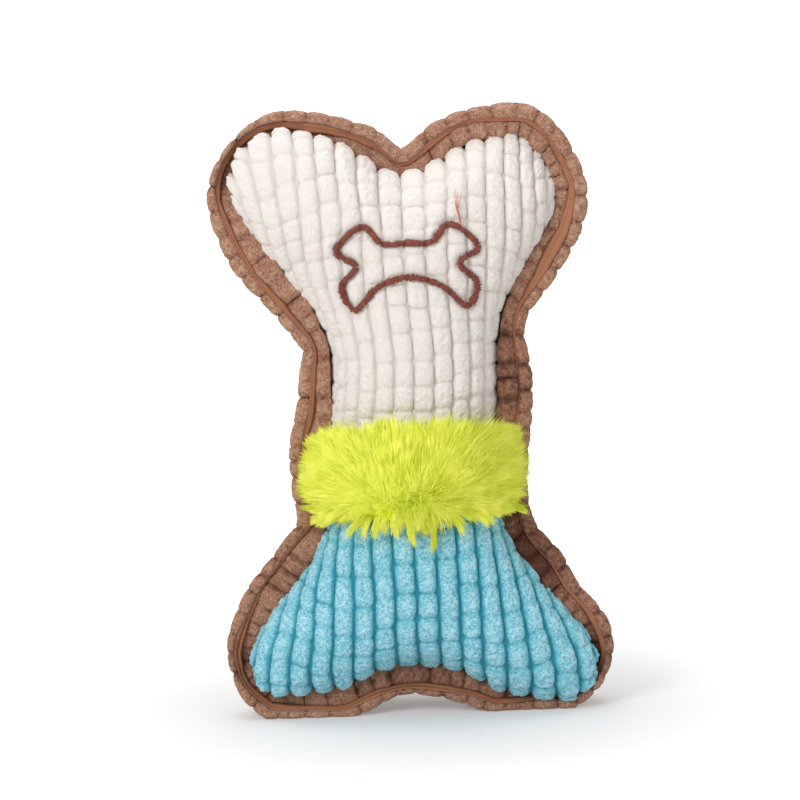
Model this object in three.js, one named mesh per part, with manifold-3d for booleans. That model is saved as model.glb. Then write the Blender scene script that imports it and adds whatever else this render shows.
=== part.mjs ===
// A stuffed bone-shaped squeaky toy, in millimetres.
// +Z runs up the bone, the decorated front faces -Y, and the toy stands on its two lower knobs.
import * as THREE from 'three';
import { mergeVertices } from 'three/addons/utils/BufferGeometryUtils.js';
import Module from 'manifold-3d';

// Outline of the bone, seen from the front
const HEIGHT = 219.5; // floor to the crests of the upper knobs
const UPPER_WIDTH = 138; // across the upper knobs
const LOWER_WIDTH = 140; // across the lower knobs
const WAIST_WIDTH = 79;
const SHOULDER_DROP = 91.5; // from the crests down to where the flanks reach the waist
const WAIST_BOTTOM = 84;
const CREST_SPACING = 82; // between the crests of the upper knobs
const FOOT_SPACING = 88; // between the feet under the lower knobs
const UPPER_KNOB_DROP = 29.5; // from a crest down to the knob's widest point
const LOWER_KNOB_RISE = 23; // from the floor up to the knob's widest point
const NOTCH_DEPTH = 14.5; // between the upper knobs
const ARCH_RISE = 6; // between the feet
const FLANK_SWEEP = 21; // how far each flank keeps its direction before it turns
const NOTCH_SWEEP = 9;
const FOOT_FLAT = 2.5; // how far the feet are pressed flat by the floor

// Swell of the stuffed body, to the outside of the cloth
const FRONT_BULGE = 29;
const BACK_BULGE = 27;
const UPPER_SPINE_DROP = 25; // the thickest line ends this far below the upper knobs' widest point
const LOWER_SPINE_RISE = 27; // and this far above the lower knobs' widest point
const FRONT_FULLNESS = 2.3; // 2 is an ellipse across the body, more is squarer
const BACK_FULLNESS = 3;

// Cloth layers, pile included, and the rim that stands round the front
const PANEL_CLOTH = 3.2;
const BACK_CLOTH = 3.2;
const BACKING_STRIP = 1.8;
const FRONT_PLY = 2.6;
const RIM_STAND = 9; // how far the rim stands forward of the seam
const STRIP_PROUD = 0.4;
const PLY_DROP = 1;
const WAIST_LEAN = 14; // degrees that the rim leans outwards at the waist
const LAYER_GAP = 0.3;
const FILL_GAP = 0.8; // between the stuffing and its skin
const THREAD = 0.7;

// Fur band across the waist
const BAND_BOTTOM = 72;
const BAND_TOP = 100;
const FUR_WIDTH = 86;
const FUR_HEIGHT = 52;
const FUR_PILE = 10;

// Corduroy: cords run the length of the body and fan out with it
const CREAM_PITCH = 7.5;
const TURQUOISE_PITCH = 7.8;
const BROWN_PITCH = 7.8;
const CORD_RELIEF = 1.6; // from the crown of a cord down to the groove beside it
const SEAM_FLATTENING = 6; // how late the grooves run out towards the seam
const CORD_REST = 0.3; // how far the front's crowns lie under its smooth shape, clear of what lies on it
const EDGE_EASE = 0.7; // by which the front corduroy keeps inside its edge
const FOLD_EASE = 0.5; // by which the back's corduroy keeps inside the fold at its edge
const RIM_ROOT = 2; // how far the rim's outer layer runs back round the back panel's edge

// Embroidered bone on the cream panel
const MOTIF_WIDTH = 50;
const MOTIF_HEIGHT = 29.3;
const MOTIF_DROP = 54.9; // from the crests down to its middle
const MOTIF_SHIFT = 0.8; // to the right of the middle
const STITCH_WIDTH = 2.7;
const STITCH_HEIGHT = 1.2;
const STITCH_SEAT = 0.6; // above the cloth, which is drawn in under it

// Squeaker, a pleated bulb with a reed pushed in from behind
const SQUEAKER_DROP = 67.5; // from the crests down to its axis
const BULB_RADIUS = 22;
const BULB_DEPTH = 22;
const BULB_WALL = 1.2;
const BULB_FACE = 0.8; // its flat faces, as a share of its radius
const BULB_SHOULDER = 0.72; // where its rounded corners end, as a share of its half depth
const PLEAT_REACH = 0.36; // half the pleat's width, as a share of the same
const PLEAT_DEPTH = 3;
const SLEEVE_BORE = 4;
const SLEEVE_WALL = 1.2;
const SLEEVE_LENGTH = 12;
const SLEEVE_FLANGE = 2.5; // how far its flange reaches past its wall
const SLEEVE_FLANGE_THICKNESS = 1.2;
const REED_WIDTH = 4.5;
const REED_THICKNESS = 0.3;
const REED_LENGTH = 9;
const CLAMP_LENGTH = 2.2; // of the reed, held between block and wedge
const FLUTTER_ROOM = 0.9; // beside the reed's free length

// Stuffing: slanted cuts at the roots of the knobs, as shares of the knobs' spacing, and in radians
const KNOB_ROOT = 0.29;
const UPPER_ROOT_LIFT = 0.145;
const LOWER_ROOT_DROP = 0.0725;
const UPPER_ROOT_SLANT = 0.64;
const LOWER_ROOT_SLANT = -0.56;

// Fineness of the curved surfaces
const HALF_STATIONS = 38;
const DOME_RINGS = [0, 0.35, 0.6, 0.78, 0.9, 0.97, 1];
const EDGE_STEPS = 400; // along the right half of a panel's edge
const GIRTH_STEPS = 60; // along half a girth
const HALVINGS = 40; // to find the end of a cord
const FRONT_ROWS = [0, 0.07, 0.22, 0.46, 0.7, 0.86, 0.95, 1]; // along a cord of the front
const BACK_ROWS = [0, 0.07, 0.22, 0.46, 0.7, 0.84, 0.93, 0.98, 1];
const FRONT_COLUMNS = 3; // across a cord of the front
const BACK_COLUMNS = 2;
const FLANK_COLUMNS = [1, 2.4]; // beside the outermost point of a panel, where its edge turns
const WAIST_COLUMNS = [0.3, 1]; // beside the point where a panel's edge leaves the waist
const FLATNESS = 0.1; // faces of the corduroy that bend less than this are one
const ROUND_SEGMENTS = 24;
const FUR_SEGMENTS = 28;
const FUR_RINGS = 18;
const THREAD_SIDES = 5;
const SEAM_STEPS = 16;
const MOTIF_STATIONS = 96;
const QUARTER_ROUND = 0.55; // handle of a curve that rounds a quarter turn
const SLACK_ROUND = 0.45; // and of the upper knobs' slacker turn
const FAR = 400; // size of a cutting block

const COLOURS = {
  cream: 0xeee8e2,
  lime: 0xdde43c,
  turquoise: 0x66b9cb,
  brown: 0x8f6450,
  tan: 0xa87a60,
  redBrown: 0x6d3a2e,
  fibre: 0xf4f3ef,
  plasticWhite: 0xe9e9e4,
  plasticClear: 0xdfe6e6,
};

const wasm = await Module();
wasm.setup();

// Mesh helpers

function weld(geometry) {
  const bare = geometry.clone();
  bare.deleteAttribute('normal');
  bare.deleteAttribute('uv');
  const merged = mergeVertices(bare, 1e-4);
  const corners = merged.index.array;
  const kept = [];
  for (let i = 0; i < corners.length; i += 3) {
    const [a, b, c] = [corners[i], corners[i + 1], corners[i + 2]];
    if (a !== b && b !== c && c !== a) kept.push(a, b, c);
  }
  merged.setIndex(kept);
  return merged;
}

function toSolid(geometry) {
  const merged = weld(geometry);
  return new wasm.Manifold(
    new wasm.Mesh({
      numProp: 3,
      vertProperties: new Float32Array(merged.attributes.position.array),
      triVerts: new Uint32Array(merged.index.array),
    }),
  );
}

function toGeometry(solid) {
  const mesh = solid.getMesh();
  const geometry = new THREE.BufferGeometry();
  geometry.setAttribute('position', new THREE.BufferAttribute(mesh.vertProperties, 3));
  geometry.setIndex(new THREE.BufferAttribute(mesh.triVerts, 1));
  geometry.computeVertexNormals();
  return geometry;
}

function signedVolume(points, corners) {
  let total = 0;
  for (let i = 0; i < corners.length; i += 3) {
    const [a, b, c] = [points[corners[i]], points[corners[i + 1]], points[corners[i + 2]]];
    total += a.dot(b.clone().cross(c));
  }
  return total / 6;
}

// Skins rows of points, each row a closed loop. A ring joins its last row to its first;
// any other skin starts and ends on the spine, where its two halves meet.
function loft(rows, ring) {
  const count = rows[0].length;
  const points = rows.flat();
  const corners = [];
  const spans = ring ? rows.length : rows.length - 1;
  for (let k = 0; k < spans; k++) {
    const next = (k + 1) % rows.length;
    for (let i = 0; i < count; i++) {
      const j = (i + 1) % count;
      const [a, b, c, d] = [k * count + i, k * count + j, next * count + j, next * count + i];
      corners.push(a, b, c, a, c, d);
    }
  }
  if (signedVolume(points, corners) < 0) corners.reverse();
  const geometry = new THREE.BufferGeometry().setFromPoints(points);
  geometry.setIndex(corners);
  return weld(geometry);
}

function block(low, high) {
  const size = high.clone().sub(low);
  const geometry = new THREE.BoxGeometry(size.x, size.y, size.z);
  geometry.translate((low.x + high.x) / 2, (low.y + high.y) / 2, (low.z + high.z) / 2);
  return toSolid(geometry);
}

function slab(bottom, top) {
  return block(new THREE.Vector3(-FAR, -FAR, bottom), new THREE.Vector3(FAR, FAR, top));
}

function between(front, back) {
  return block(new THREE.Vector3(-FAR, front, -FAR), new THREE.Vector3(FAR, back, FAR));
}

// Outline: the right half as curves from the notch down to the arch, then mirrored

const WAIST_TOP = HEIGHT - SHOULDER_DROP;
const SPINE_TOP = HEIGHT - UPPER_KNOB_DROP - UPPER_SPINE_DROP;
const SPINE_BOTTOM = LOWER_KNOB_RISE + LOWER_SPINE_RISE;

function rightHalf() {
  const crest = { x: CREST_SPACING / 2, z: HEIGHT };
  const upper = { x: UPPER_WIDTH / 2, z: HEIGHT - UPPER_KNOB_DROP };
  const waist = WAIST_WIDTH / 2;
  const lower = { x: LOWER_WIDTH / 2, z: LOWER_KNOB_RISE };
  const foot = { x: FOOT_SPACING / 2, z: -FOOT_FLAT };
  const notch = HEIGHT - NOTCH_DEPTH;
  const round = (from, to) => from + (to - from) * QUARTER_ROUND;
  const slack = (from, to) => from + (to - from) * SLACK_ROUND;
  const path = new THREE.Path();
  path.moveTo(0, notch);
  path.bezierCurveTo(NOTCH_SWEEP, notch, crest.x / 2, crest.z, crest.x, crest.z);
  path.bezierCurveTo(
    slack(crest.x, upper.x), crest.z, upper.x, slack(upper.z, crest.z), upper.x, upper.z,
  );
  path.bezierCurveTo(
    upper.x, upper.z - FLANK_SWEEP, waist, WAIST_TOP + FLANK_SWEEP, waist, WAIST_TOP,
  );
  path.lineTo(waist, WAIST_BOTTOM);
  path.bezierCurveTo(
    waist, WAIST_BOTTOM - FLANK_SWEEP, lower.x, lower.z + FLANK_SWEEP, lower.x, lower.z,
  );
  path.bezierCurveTo(
    lower.x, round(lower.z, foot.z), round(foot.x, lower.x), foot.z, foot.x, foot.z,
  );
  path.bezierCurveTo(foot.x / 2, foot.z, foot.x / 2, ARCH_RISE, 0, ARCH_RISE);
  return path.getSpacedPoints(HALF_STATIONS);
}

function outlineStations() {
  const right = rightHalf();
  const left = right.slice(1, -1).reverse().map((p) => new THREE.Vector2(-p.x, p.y));
  const loop = [...right, ...left];
  return loop.map((point, i) => {
    const before = loop[(i + loop.length - 1) % loop.length];
    const after = loop[(i + 1) % loop.length];
    const along = after.clone().sub(before).normalize();
    const rise = Math.sin((Math.PI * THREE.MathUtils.clamp(point.y, 0, HEIGHT)) / HEIGHT);
    return {
      point,
      outward: new THREE.Vector2(-along.y, along.x),
      spine: new THREE.Vector2(0, THREE.MathUtils.clamp(point.y, SPINE_BOTTOM, SPINE_TOP)),
      lean: THREE.MathUtils.degToRad(WAIST_LEAN) * rise * rise,
    };
  });
}

const STATIONS = outlineStations();

// The floor presses the feet flat, each layer at its own depth above the outermost one
function pressed(flat, y, depth) {
  return new THREE.Vector3(flat.x, y, Math.max(flat.y, depth));
}

// A point on the way from the spine (share 0) to the outline drawn in by inset (share 1)
function inside(station, inset, share, y) {
  const edge = station.point.clone().addScaledVector(station.outward, -inset);
  return pressed(station.spine.clone().lerp(edge, share), y, inset);
}

// Rows of a dome from its crown on the spine out to its edge; facing is -1 in front, 1 behind
function dome(facing, inset, bulge, base = 0) {
  const fullness = facing < 0 ? FRONT_FULLNESS : BACK_FULLNESS;
  return DOME_RINGS.map((share) => {
    const y = facing * (base + bulge * Math.sqrt(1 - share ** fullness));
    return STATIONS.map((station) => inside(station, inset, share, y));
  });
}

// A row of points in the rim: depth is measured in from its outer face, stand along its height
function rimRow(depth, stand) {
  return STATIONS.map((station) => {
    const [sin, cos] = [Math.sin(station.lean), Math.cos(station.lean)];
    const out = -depth * cos + stand * sin;
    const forward = depth * sin + stand * cos;
    return pressed(station.point.clone().addScaledVector(station.outward, out), -forward, depth);
  });
}

// Rim: back panel's edge outside, tan strip, front ply, then the seam thread and the front panels
const STRIP_DEPTH = BACK_CLOTH + LAYER_GAP;
const PLY_DEPTH = STRIP_DEPTH + BACKING_STRIP + LAYER_GAP;
const THREAD_DEPTH = PLY_DEPTH + FRONT_PLY + LAYER_GAP + THREAD / 2;
const PANEL_INSET = THREAD_DEPTH + THREAD / 2 + LAYER_GAP;
const LINING_INSET = PANEL_INSET + PANEL_CLOTH;

function rimLayer(depth, thickness, top) {
  const far = depth + thickness;
  return loft([rimRow(depth, 0), rimRow(depth, top), rimRow(far, top), rimRow(far, 0)], true);
}

function rimThread() {
  const radius = THREAD / 2;
  const rows = [];
  for (let i = 0; i < THREAD_SIDES; i++) {
    const turn = (2 * Math.PI * i) / THREAD_SIDES;
    rows.push(rimRow(THREAD_DEPTH + radius * Math.cos(turn), THREAD + radius * Math.sin(turn)));
  }
  return loft(rows, true);
}

// Front: one stuffed skin cut into three panels along two level seams
const FRONT_SKIN = toSolid(
  loft(
    [
      ...dome(-1, PANEL_INSET, FRONT_BULGE),
      ...dome(-1, LINING_INSET, FRONT_BULGE - PANEL_CLOTH).reverse(),
    ],
    false,
  ),
);
const SEAM_HALF_SLOT = THREAD / 2 + LAYER_GAP;

// A dome closed by a flat floor, which lies a root's length past the seam
function closedDome(facing, inset, bulge, root = 0) {
  const row = (share) => STATIONS.map((station) => inside(station, inset, share, -facing * root));
  return loft([...dome(facing, inset, bulge), row(1), row(0)], false);
}

const FRONT_SURFACE = closedDome(-1, PANEL_INSET, FRONT_BULGE);
const FRONT_PROBE = new THREE.Mesh(FRONT_SURFACE, new THREE.MeshBasicMaterial());

// Depth of the front panels' outer surface at a place on the front
function frontSurface(x, z) {
  const from = new THREE.Vector3(x, -FAR, z);
  const ray = new THREE.Raycaster(from, new THREE.Vector3(0, 1, 0));
  return ray.intersectObject(FRONT_PROBE)[0].point.y;
}

// Corduroy

// A lookup through pairs of place and value, held at both ends
function lookup(pairs) {
  const sorted = [...pairs].sort((a, b) => a[0] - b[0]);
  return (at) => {
    const next = sorted.findIndex(([place]) => place >= at);
    if (next === 0) return sorted[0][1];
    if (next < 0) return sorted.at(-1)[1];
    const [[from, low], [to, high]] = [sorted[next - 1], sorted[next]];
    return low + ((high - low) * (at - from)) / (to - from);
  };
}

// Where, between two heights, something first holds
function firstHeight(from, to, holds) {
  let [before, after] = [from, to];
  for (let i = 0; i < HALVINGS; i++) {
    const middle = (before + after) / 2;
    if (holds(middle)) after = middle;
    else before = middle;
  }
  return (before + after) / 2;
}

// The smooth shape of a panel, for any place on it and not only at the stations
function swell(facing, inset, bulge) {
  const fullness = facing < 0 ? FRONT_FULLNESS : BACK_FULLNESS;
  const right = STATIONS.slice(0, HALF_STATIONS + 1).map((station) => inside(station, inset, 1, 0));
  const corners = right.map((p) => new THREE.Vector2(Math.max(p.x, 0), p.z));
  const edge = new THREE.Path(corners).getSpacedPoints(EDGE_STEPS);
  const fan = (points, centre) =>
    lookup(points.map((p) => [Math.atan2(Math.abs(p.y - centre), p.x), Math.hypot(p.x, p.y - centre)]));
  const top = fan(edge.filter((p) => p.y >= SPINE_TOP), SPINE_TOP);
  const bottom = fan(edge.filter((p) => p.y <= SPINE_BOTTOM), SPINE_BOTTOM);
  const level = lookup(edge.filter((p) => p.y <= SPINE_TOP && p.y >= SPINE_BOTTOM).map((p) => [p.y, p.x]));
  const share = (x, z) => {
    const spine = THREE.MathUtils.clamp(z, SPINE_BOTTOM, SPINE_TOP);
    const rise = Math.abs(z - spine);
    if (rise === 0) return Math.abs(x) / level(z);
    return Math.hypot(x, rise) / (z > spine ? top : bottom)(Math.atan2(rise, Math.abs(x)));
  };
  const height = (part) => bulge * Math.sqrt(Math.max(0, 1 - part ** fullness));
  const depth = (x, z) => facing * height(Math.min(1, share(x, z)));

  // Half a girth of the given half width: its length, and how far out a distance along it reaches
  const girth = (width) => {
    const pairs = [[0, 0]];
    let [run, x, y] = [0, 0, bulge];
    for (let i = 1; i <= GIRTH_STEPS; i++) {
      const part = 1 - (1 - i / GIRTH_STEPS) ** 2;
      run += Math.hypot(width * part - x, height(part) - y);
      [x, y] = [width * part, height(part)];
      pairs.push([run, x]);
    }
    return { length: run, reach: lookup(pairs) };
  };
  return { edge, share, depth, girth };
}

// Distances from the middle at which a panel has lines of points, along its cords and to its two flanks
function cordLines(step, startLength, fullLength) {
  const inner = [startLength, fullLength];
  inner.push(...WAIST_COLUMNS.map((on) => startLength + on), ...FLANK_COLUMNS.map((back) => fullLength - back));
  for (let at = step; at < fullLength; at += step) inner.push(at);
  const right = inner.sort((a, b) => a - b);
  return [...right.map((at) => -at).reverse(), 0, ...right];
}

// The closed solid between a panel's cords and the plane of the seam, up (1) or down (-1) from a level start
function corduroy(smooth, side, start, pitch, columns, shares, rest) {
  const half = smooth.edge.filter((p) => side * (p.y - start) >= 0);
  const widest = half.reduce((best, p) => (p.x > best.x ? p : best));
  const flank = lookup(half.filter((p) => side * (widest.y - p.y) >= 0).map((p) => [p.y, p.x]));
  const far = side > 0 ? HEIGHT : 0;
  const girthAt = (z) => smooth.girth(flank(side > 0 ? Math.min(z, widest.y) : Math.max(z, widest.y)));
  const lengthAt = (z) => girthAt(z).length;

  const line = (distance) => {
    const away = Math.abs(distance);
    const acrossAt = (z) => Math.sign(distance) * girthAt(z).reach(away);
    const fromFlank = away > lengthAt(start) - LAYER_GAP / 2;
    const low = fromFlank ? firstHeight(start, widest.y, (z) => lengthAt(z) >= away) : start;
    const high = firstHeight(widest.y, far, (z) => smooth.share(acrossAt(z), z) >= 1);
    const groove = Math.abs(2 * ((away / pitch) % 1) - 1) ** 2;
    return shares.map((part) => {
      const z = low + (high - low) * part;
      const x = acrossAt(z);
      const floor = new THREE.Vector3(x, 0, z);
      if (part === 1 || (part === 0 && fromFlank)) return { surface: floor, floor };
      const surface = new THREE.Vector3(x, smooth.depth(x, z), z);
      const spine = new THREE.Vector3(0, 0, THREE.MathUtils.clamp(z, SPINE_BOTTOM, SPINE_TOP));
      const inward = spine.sub(surface).normalize();
      const kept = 1 - smooth.share(x, z) ** SEAM_FLATTENING;
      return { surface: surface.addScaledVector(inward, rest + CORD_RELIEF * groove * kept), floor };
    });
  };

  const lines = cordLines(pitch / columns, lengthAt(start), lengthAt(widest.y)).map(line);
  const cells = lines.flat();
  const points = [...cells.map((cell) => cell.surface), ...cells.map((cell) => cell.floor)];
  const corners = [];
  const rows = shares.length;
  const under = cells.length;
  for (let k = 0; k + 1 < lines.length; k++) {
    const leftOfMiddle = 2 * (k + 1) < lines.length;
    for (let i = 0; i + 1 < rows; i++) {
      const [a, b] = [k * rows + i, (k + 1) * rows + i];
      const [d, c] = [a + 1, b + 1];
      const faces = leftOfMiddle ? [a, b, c, a, c, d] : [a, b, d, b, c, d];
      corners.push(...faces, ...faces.map((corner) => under + corner).reverse());
    }
    const [a, b] = [k * rows, (k + 1) * rows];
    corners.push(b, a, under + a, b, under + a, under + b);
  }
  if (signedVolume(points, corners) < 0) corners.reverse();
  const geometry = new THREE.BufferGeometry().setFromPoints(points);
  geometry.setIndex(corners);
  return toSolid(geometry);
}

const FRONT_SWELL = swell(-1, PANEL_INSET + EDGE_EASE, FRONT_BULGE);
const FRONT_LINING = toSolid(closedDome(-1, LINING_INSET, FRONT_BULGE - PANEL_CLOTH, LAYER_GAP));

function creamPanel() {
  const cords = corduroy(FRONT_SWELL, 1, BAND_TOP, CREAM_PITCH, FRONT_COLUMNS, FRONT_ROWS, CORD_REST);
  const panel = cords.intersect(slab(BAND_TOP + SEAM_HALF_SLOT, FAR)).subtract(FRONT_LINING);
  return toGeometry(panel.simplify(FLATNESS));
}

function turquoisePanel() {
  const cords = corduroy(FRONT_SWELL, -1, BAND_BOTTOM, TURQUOISE_PITCH, FRONT_COLUMNS, FRONT_ROWS, CORD_REST);
  const panel = cords.intersect(slab(-FAR, BAND_BOTTOM - SEAM_HALF_SLOT)).subtract(FRONT_LINING);
  return toGeometry(panel.simplify(FLATNESS));
}

// The back panel is cut in one piece; its edge is folded forward as the rim's outer layer
function backPanel() {
  const smooth = swell(1, FOLD_EASE, BACK_BULGE);
  const middle = (WAIST_TOP + WAIST_BOTTOM) / 2;
  const half = (side) => corduroy(smooth, side, middle, BROWN_PITCH, BACK_COLUMNS, BACK_ROWS, 0);
  const lining = toSolid(closedDome(1, BACK_CLOTH, BACK_BULGE - BACK_CLOTH, LAYER_GAP));
  const root = (depth) => STATIONS.map((station) => inside(station, depth, 1, RIM_ROOT));
  const rim = loft(
    [
      root(0),
      rimRow(0, RIM_STAND),
      rimRow(BACK_CLOTH, RIM_STAND),
      root(BACK_CLOTH - FOLD_EASE),
    ],
    true,
  );
  return toGeometry(half(1).add(half(-1)).subtract(lining).add(toSolid(rim)).simplify(FLATNESS));
}

// The band's cloth lies between the panels; its pile stands proud and hangs over both of them
function furBand() {
  const band = slab(BAND_BOTTOM + SEAM_HALF_SLOT, BAND_TOP - SEAM_HALF_SLOT);
  const tuft = new THREE.SphereGeometry(1, FUR_SEGMENTS, FUR_RINGS);
  tuft.scale(FUR_WIDTH / 2, FRONT_BULGE + FUR_PILE, FUR_HEIGHT / 2);
  tuft.translate(0, 0, (BAND_BOTTOM + BAND_TOP) / 2);
  const mound = toSolid(tuft).intersect(toSolid(closedDome(-1, PANEL_INSET, FRONT_BULGE + FUR_PILE)));
  const clearance = toSolid(closedDome(-1, PANEL_INSET - LAYER_GAP, FRONT_BULGE + LAYER_GAP));
  const lining = toSolid(closedDome(-1, LINING_INSET, FRONT_BULGE - PANEL_CLOTH));
  const overhang = mound.subtract(clearance);
  const root = mound.intersect(band).subtract(lining);
  return toGeometry(overhang.add(root).add(FRONT_SKIN.intersect(band)));
}

// A thread laid along a level seam, half way through the cloth
function seamThread(height) {
  const reach = WAIST_WIDTH / 2 - LINING_INSET;
  const points = [];
  for (let i = 0; i <= SEAM_STEPS; i++) {
    const x = reach * ((2 * i) / SEAM_STEPS - 1);
    points.push(new THREE.Vector3(x, frontSurface(x, height) + PANEL_CLOTH / 2, height));
  }
  const section = new THREE.Shape();
  section.absarc(0, 0, THREAD / 2, 0, 2 * Math.PI);
  return new THREE.ExtrudeGeometry(section, {
    steps: 1.5 * SEAM_STEPS,
    curveSegments: 3,
    extrudePath: new THREE.CatmullRomCurve3(points),
  });
}

// Embroidery: the right half of a small bone, top middle round to bottom middle
function motifCurve() {
  const [w, h] = [MOTIF_WIDTH / 2, MOTIF_HEIGHT / 2];
  const centre = HEIGHT - MOTIF_DROP;
  const half = [
    [0, 0.6], [0.34, 0.6], [0.6, 1], [0.9, 0.7], [1, 0.4], [0.73, 0.07],
    [0.96, -0.44], [0.81, -1], [0.45, -0.45], [0, -0.22],
  ];
  const mirrored = half.slice(1, -1).reverse().map(([x, z]) => [-x, z]);
  const points = [...half, ...mirrored].map(
    ([x, z]) => new THREE.Vector3(MOTIF_SHIFT + x * w, 0, centre + z * h),
  );
  return new THREE.CatmullRomCurve3(points, true, 'centripetal');
}

function embroidery() {
  const curve = motifCurve();
  const rows = [[], [], [], []];
  for (let i = 0; i < MOTIF_STATIONS; i++) {
    const centre = curve.getPointAt(i / MOTIF_STATIONS);
    const along = curve.getTangentAt(i / MOTIF_STATIONS);
    const across = new THREE.Vector3(-along.z, 0, along.x).multiplyScalar(STITCH_WIDTH / 2);
    for (const side of [0, 1]) {
      const edge = centre.clone().addScaledVector(across, side ? 1 : -1);
      const seat = frontSurface(edge.x, edge.z) - STITCH_SEAT;
      rows[side ? 2 : 1].push(new THREE.Vector3(edge.x, seat - STITCH_HEIGHT, edge.z));
      rows[side ? 3 : 0].push(new THREE.Vector3(edge.x, seat, edge.z));
    }
  }
  return loft(rows, true);
}

// Squeaker: every piece is turned about, or lies along, its axis, which runs front to back.
// Its own group has the axis on Y and the middle of the bulb at the origin.
const SQUEAKER_HEIGHT = HEIGHT - SQUEAKER_DROP;
const BULB_HOLE = SLEEVE_BORE + SLEEVE_WALL + LAYER_GAP;
const SLEEVE_BACK = BULB_DEPTH / 2 + LAYER_GAP;

function turned(profile) {
  const points = profile.map(([radius, y]) => new THREE.Vector2(radius, y));
  const geometry = weld(new THREE.LatheGeometry(points, ROUND_SEGMENTS));
  const corners = geometry.index.array;
  const place = geometry.attributes.position;
  const all = Array.from({ length: place.count }, (_, i) => new THREE.Vector3().fromBufferAttribute(place, i));
  if (signedVolume(all, corners) < 0) geometry.setIndex(Array.from(corners).reverse());
  return geometry;
}

function bulbProfile(wall) {
  const [radius, half] = [BULB_RADIUS - wall, BULB_DEPTH / 2 - wall];
  const shoulder = half * BULB_SHOULDER;
  const dip = half * PLEAT_REACH;
  const face = radius * BULB_FACE;
  return [
    [face, -half], [radius, -shoulder], [radius, -dip], [radius - PLEAT_DEPTH, 0],
    [radius, dip], [radius, shoulder], [face, half],
  ];
}

function bulb() {
  const outer = bulbProfile(0);
  const inner = bulbProfile(BULB_WALL).reverse();
  const half = BULB_DEPTH / 2;
  return turned([
    [0, -half], ...outer, [BULB_HOLE, half],
    [BULB_HOLE, half - BULB_WALL], ...inner, [0, BULB_WALL - half],
  ]);
}

function sleeve() {
  const outside = SLEEVE_BORE + SLEEVE_WALL;
  const flange = outside + SLEEVE_FLANGE;
  const back = SLEEVE_BACK + SLEEVE_FLANGE_THICKNESS;
  const tip = back - SLEEVE_LENGTH;
  return turned([
    [SLEEVE_BORE, tip], [outside, tip], [outside, SLEEVE_BACK], [flange, SLEEVE_BACK],
    [flange, back], [SLEEVE_BORE, back], [SLEEVE_BORE, tip],
  ]);
}

const CLAMP_BACK = SLEEVE_BACK + SLEEVE_FLANGE_THICKNESS;
const CLAMP_FACE = REED_THICKNESS / 2 + LAYER_GAP;

// A round core that fits the sleeve, from the clamp's back face forwards
function core(length) {
  const geometry = new THREE.CylinderGeometry(
    SLEEVE_BORE - LAYER_GAP, SLEEVE_BORE - LAYER_GAP, length, ROUND_SEGMENTS,
  );
  geometry.translate(0, CLAMP_BACK - length / 2, 0);
  return toSolid(geometry);
}

function reedBlock() {
  const lower = core(REED_LENGTH).intersect(slab(-FAR, -CLAMP_FACE));
  const free = block(
    new THREE.Vector3(-FAR, -FAR, -CLAMP_FACE - FLUTTER_ROOM),
    new THREE.Vector3(FAR, CLAMP_BACK - CLAMP_LENGTH, FAR),
  );
  return toGeometry(lower.subtract(free));
}

function reedWedge() {
  return toGeometry(core(CLAMP_LENGTH).intersect(slab(CLAMP_FACE, FAR)));
}

function reed() {
  const geometry = new THREE.BoxGeometry(REED_WIDTH, REED_LENGTH, REED_THICKNESS);
  geometry.translate(0, CLAMP_BACK - REED_LENGTH / 2, 0);
  return geometry;
}

// Stuffing: fills the skin and is packed as four knobs and, round the squeaker, a front and a back wad
function stuffing() {
  const front = dome(-1, LINING_INSET + FILL_GAP, FRONT_BULGE - PANEL_CLOTH - FILL_GAP);
  const back = dome(1, BACK_CLOTH + FILL_GAP, BACK_BULGE - BACK_CLOTH - 2 * FILL_GAP, FILL_GAP);
  const step = STATIONS.map((station) => inside(station, LINING_INSET + FILL_GAP, 1, FILL_GAP));
  const whole = toSolid(loft([...front, step, ...back.reverse()], false));
  const rim = BULB_RADIUS + LAYER_GAP;
  const half = BULB_DEPTH / 2 + LAYER_GAP;
  const flange = BULB_HOLE + SLEEVE_FLANGE;
  const tail = CLAMP_BACK + LAYER_GAP;
  const room = turned([[0, -half], [rim, -half], [rim, half], [flange, half], [flange, tail], [0, tail]]);
  room.translate(0, 0, SQUEAKER_HEIGHT);
  return whole.subtract(toSolid(room));
}

// Everything beyond a slanted cut across the root of one knob
function knobSide(side, upper, shift) {
  const spacing = upper ? CREST_SPACING : FOOT_SPACING;
  const reach = spacing * KNOB_ROOT;
  const height = upper ? SPINE_TOP + spacing * UPPER_ROOT_LIFT : SPINE_BOTTOM - spacing * LOWER_ROOT_DROP;
  const slant = (upper ? UPPER_ROOT_SLANT : LOWER_ROOT_SLANT) * side;
  const geometry = new THREE.BoxGeometry(FAR, FAR, FAR);
  geometry.translate((side * FAR) / 2 + side * shift, 0, 0);
  geometry.rotateY(-slant);
  geometry.translate(side * reach, 0, height);
  return toSolid(geometry);
}

function stuffingWads() {
  const whole = stuffing();
  let middle = whole;
  const wads = {};
  for (const [name, side, upper] of [
    ['fill_upper_left', -1, true],
    ['fill_upper_right', 1, true],
    ['fill_lower_left', -1, false],
    ['fill_lower_right', 1, false],
  ]) {
    middle = middle.subtract(knobSide(side, upper, 0));
    wads[name] = toGeometry(whole.intersect(knobSide(side, upper, LAYER_GAP)));
  }
  wads.fill_core_front = toGeometry(middle.intersect(between(-FAR, -LAYER_GAP / 2)));
  wads.fill_core_back = toGeometry(middle.intersect(between(LAYER_GAP / 2, FAR)));
  return wads;
}

// The scene graph

function material(colour, roughness) {
  return new THREE.MeshStandardMaterial({ color: COLOURS[colour], roughness, metalness: 0 });
}

function addTo(group, name, geometry, colour, roughness) {
  const mesh = new THREE.Mesh(geometry, material(colour, roughness));
  mesh.name = name;
  group.add(mesh);
}

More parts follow.
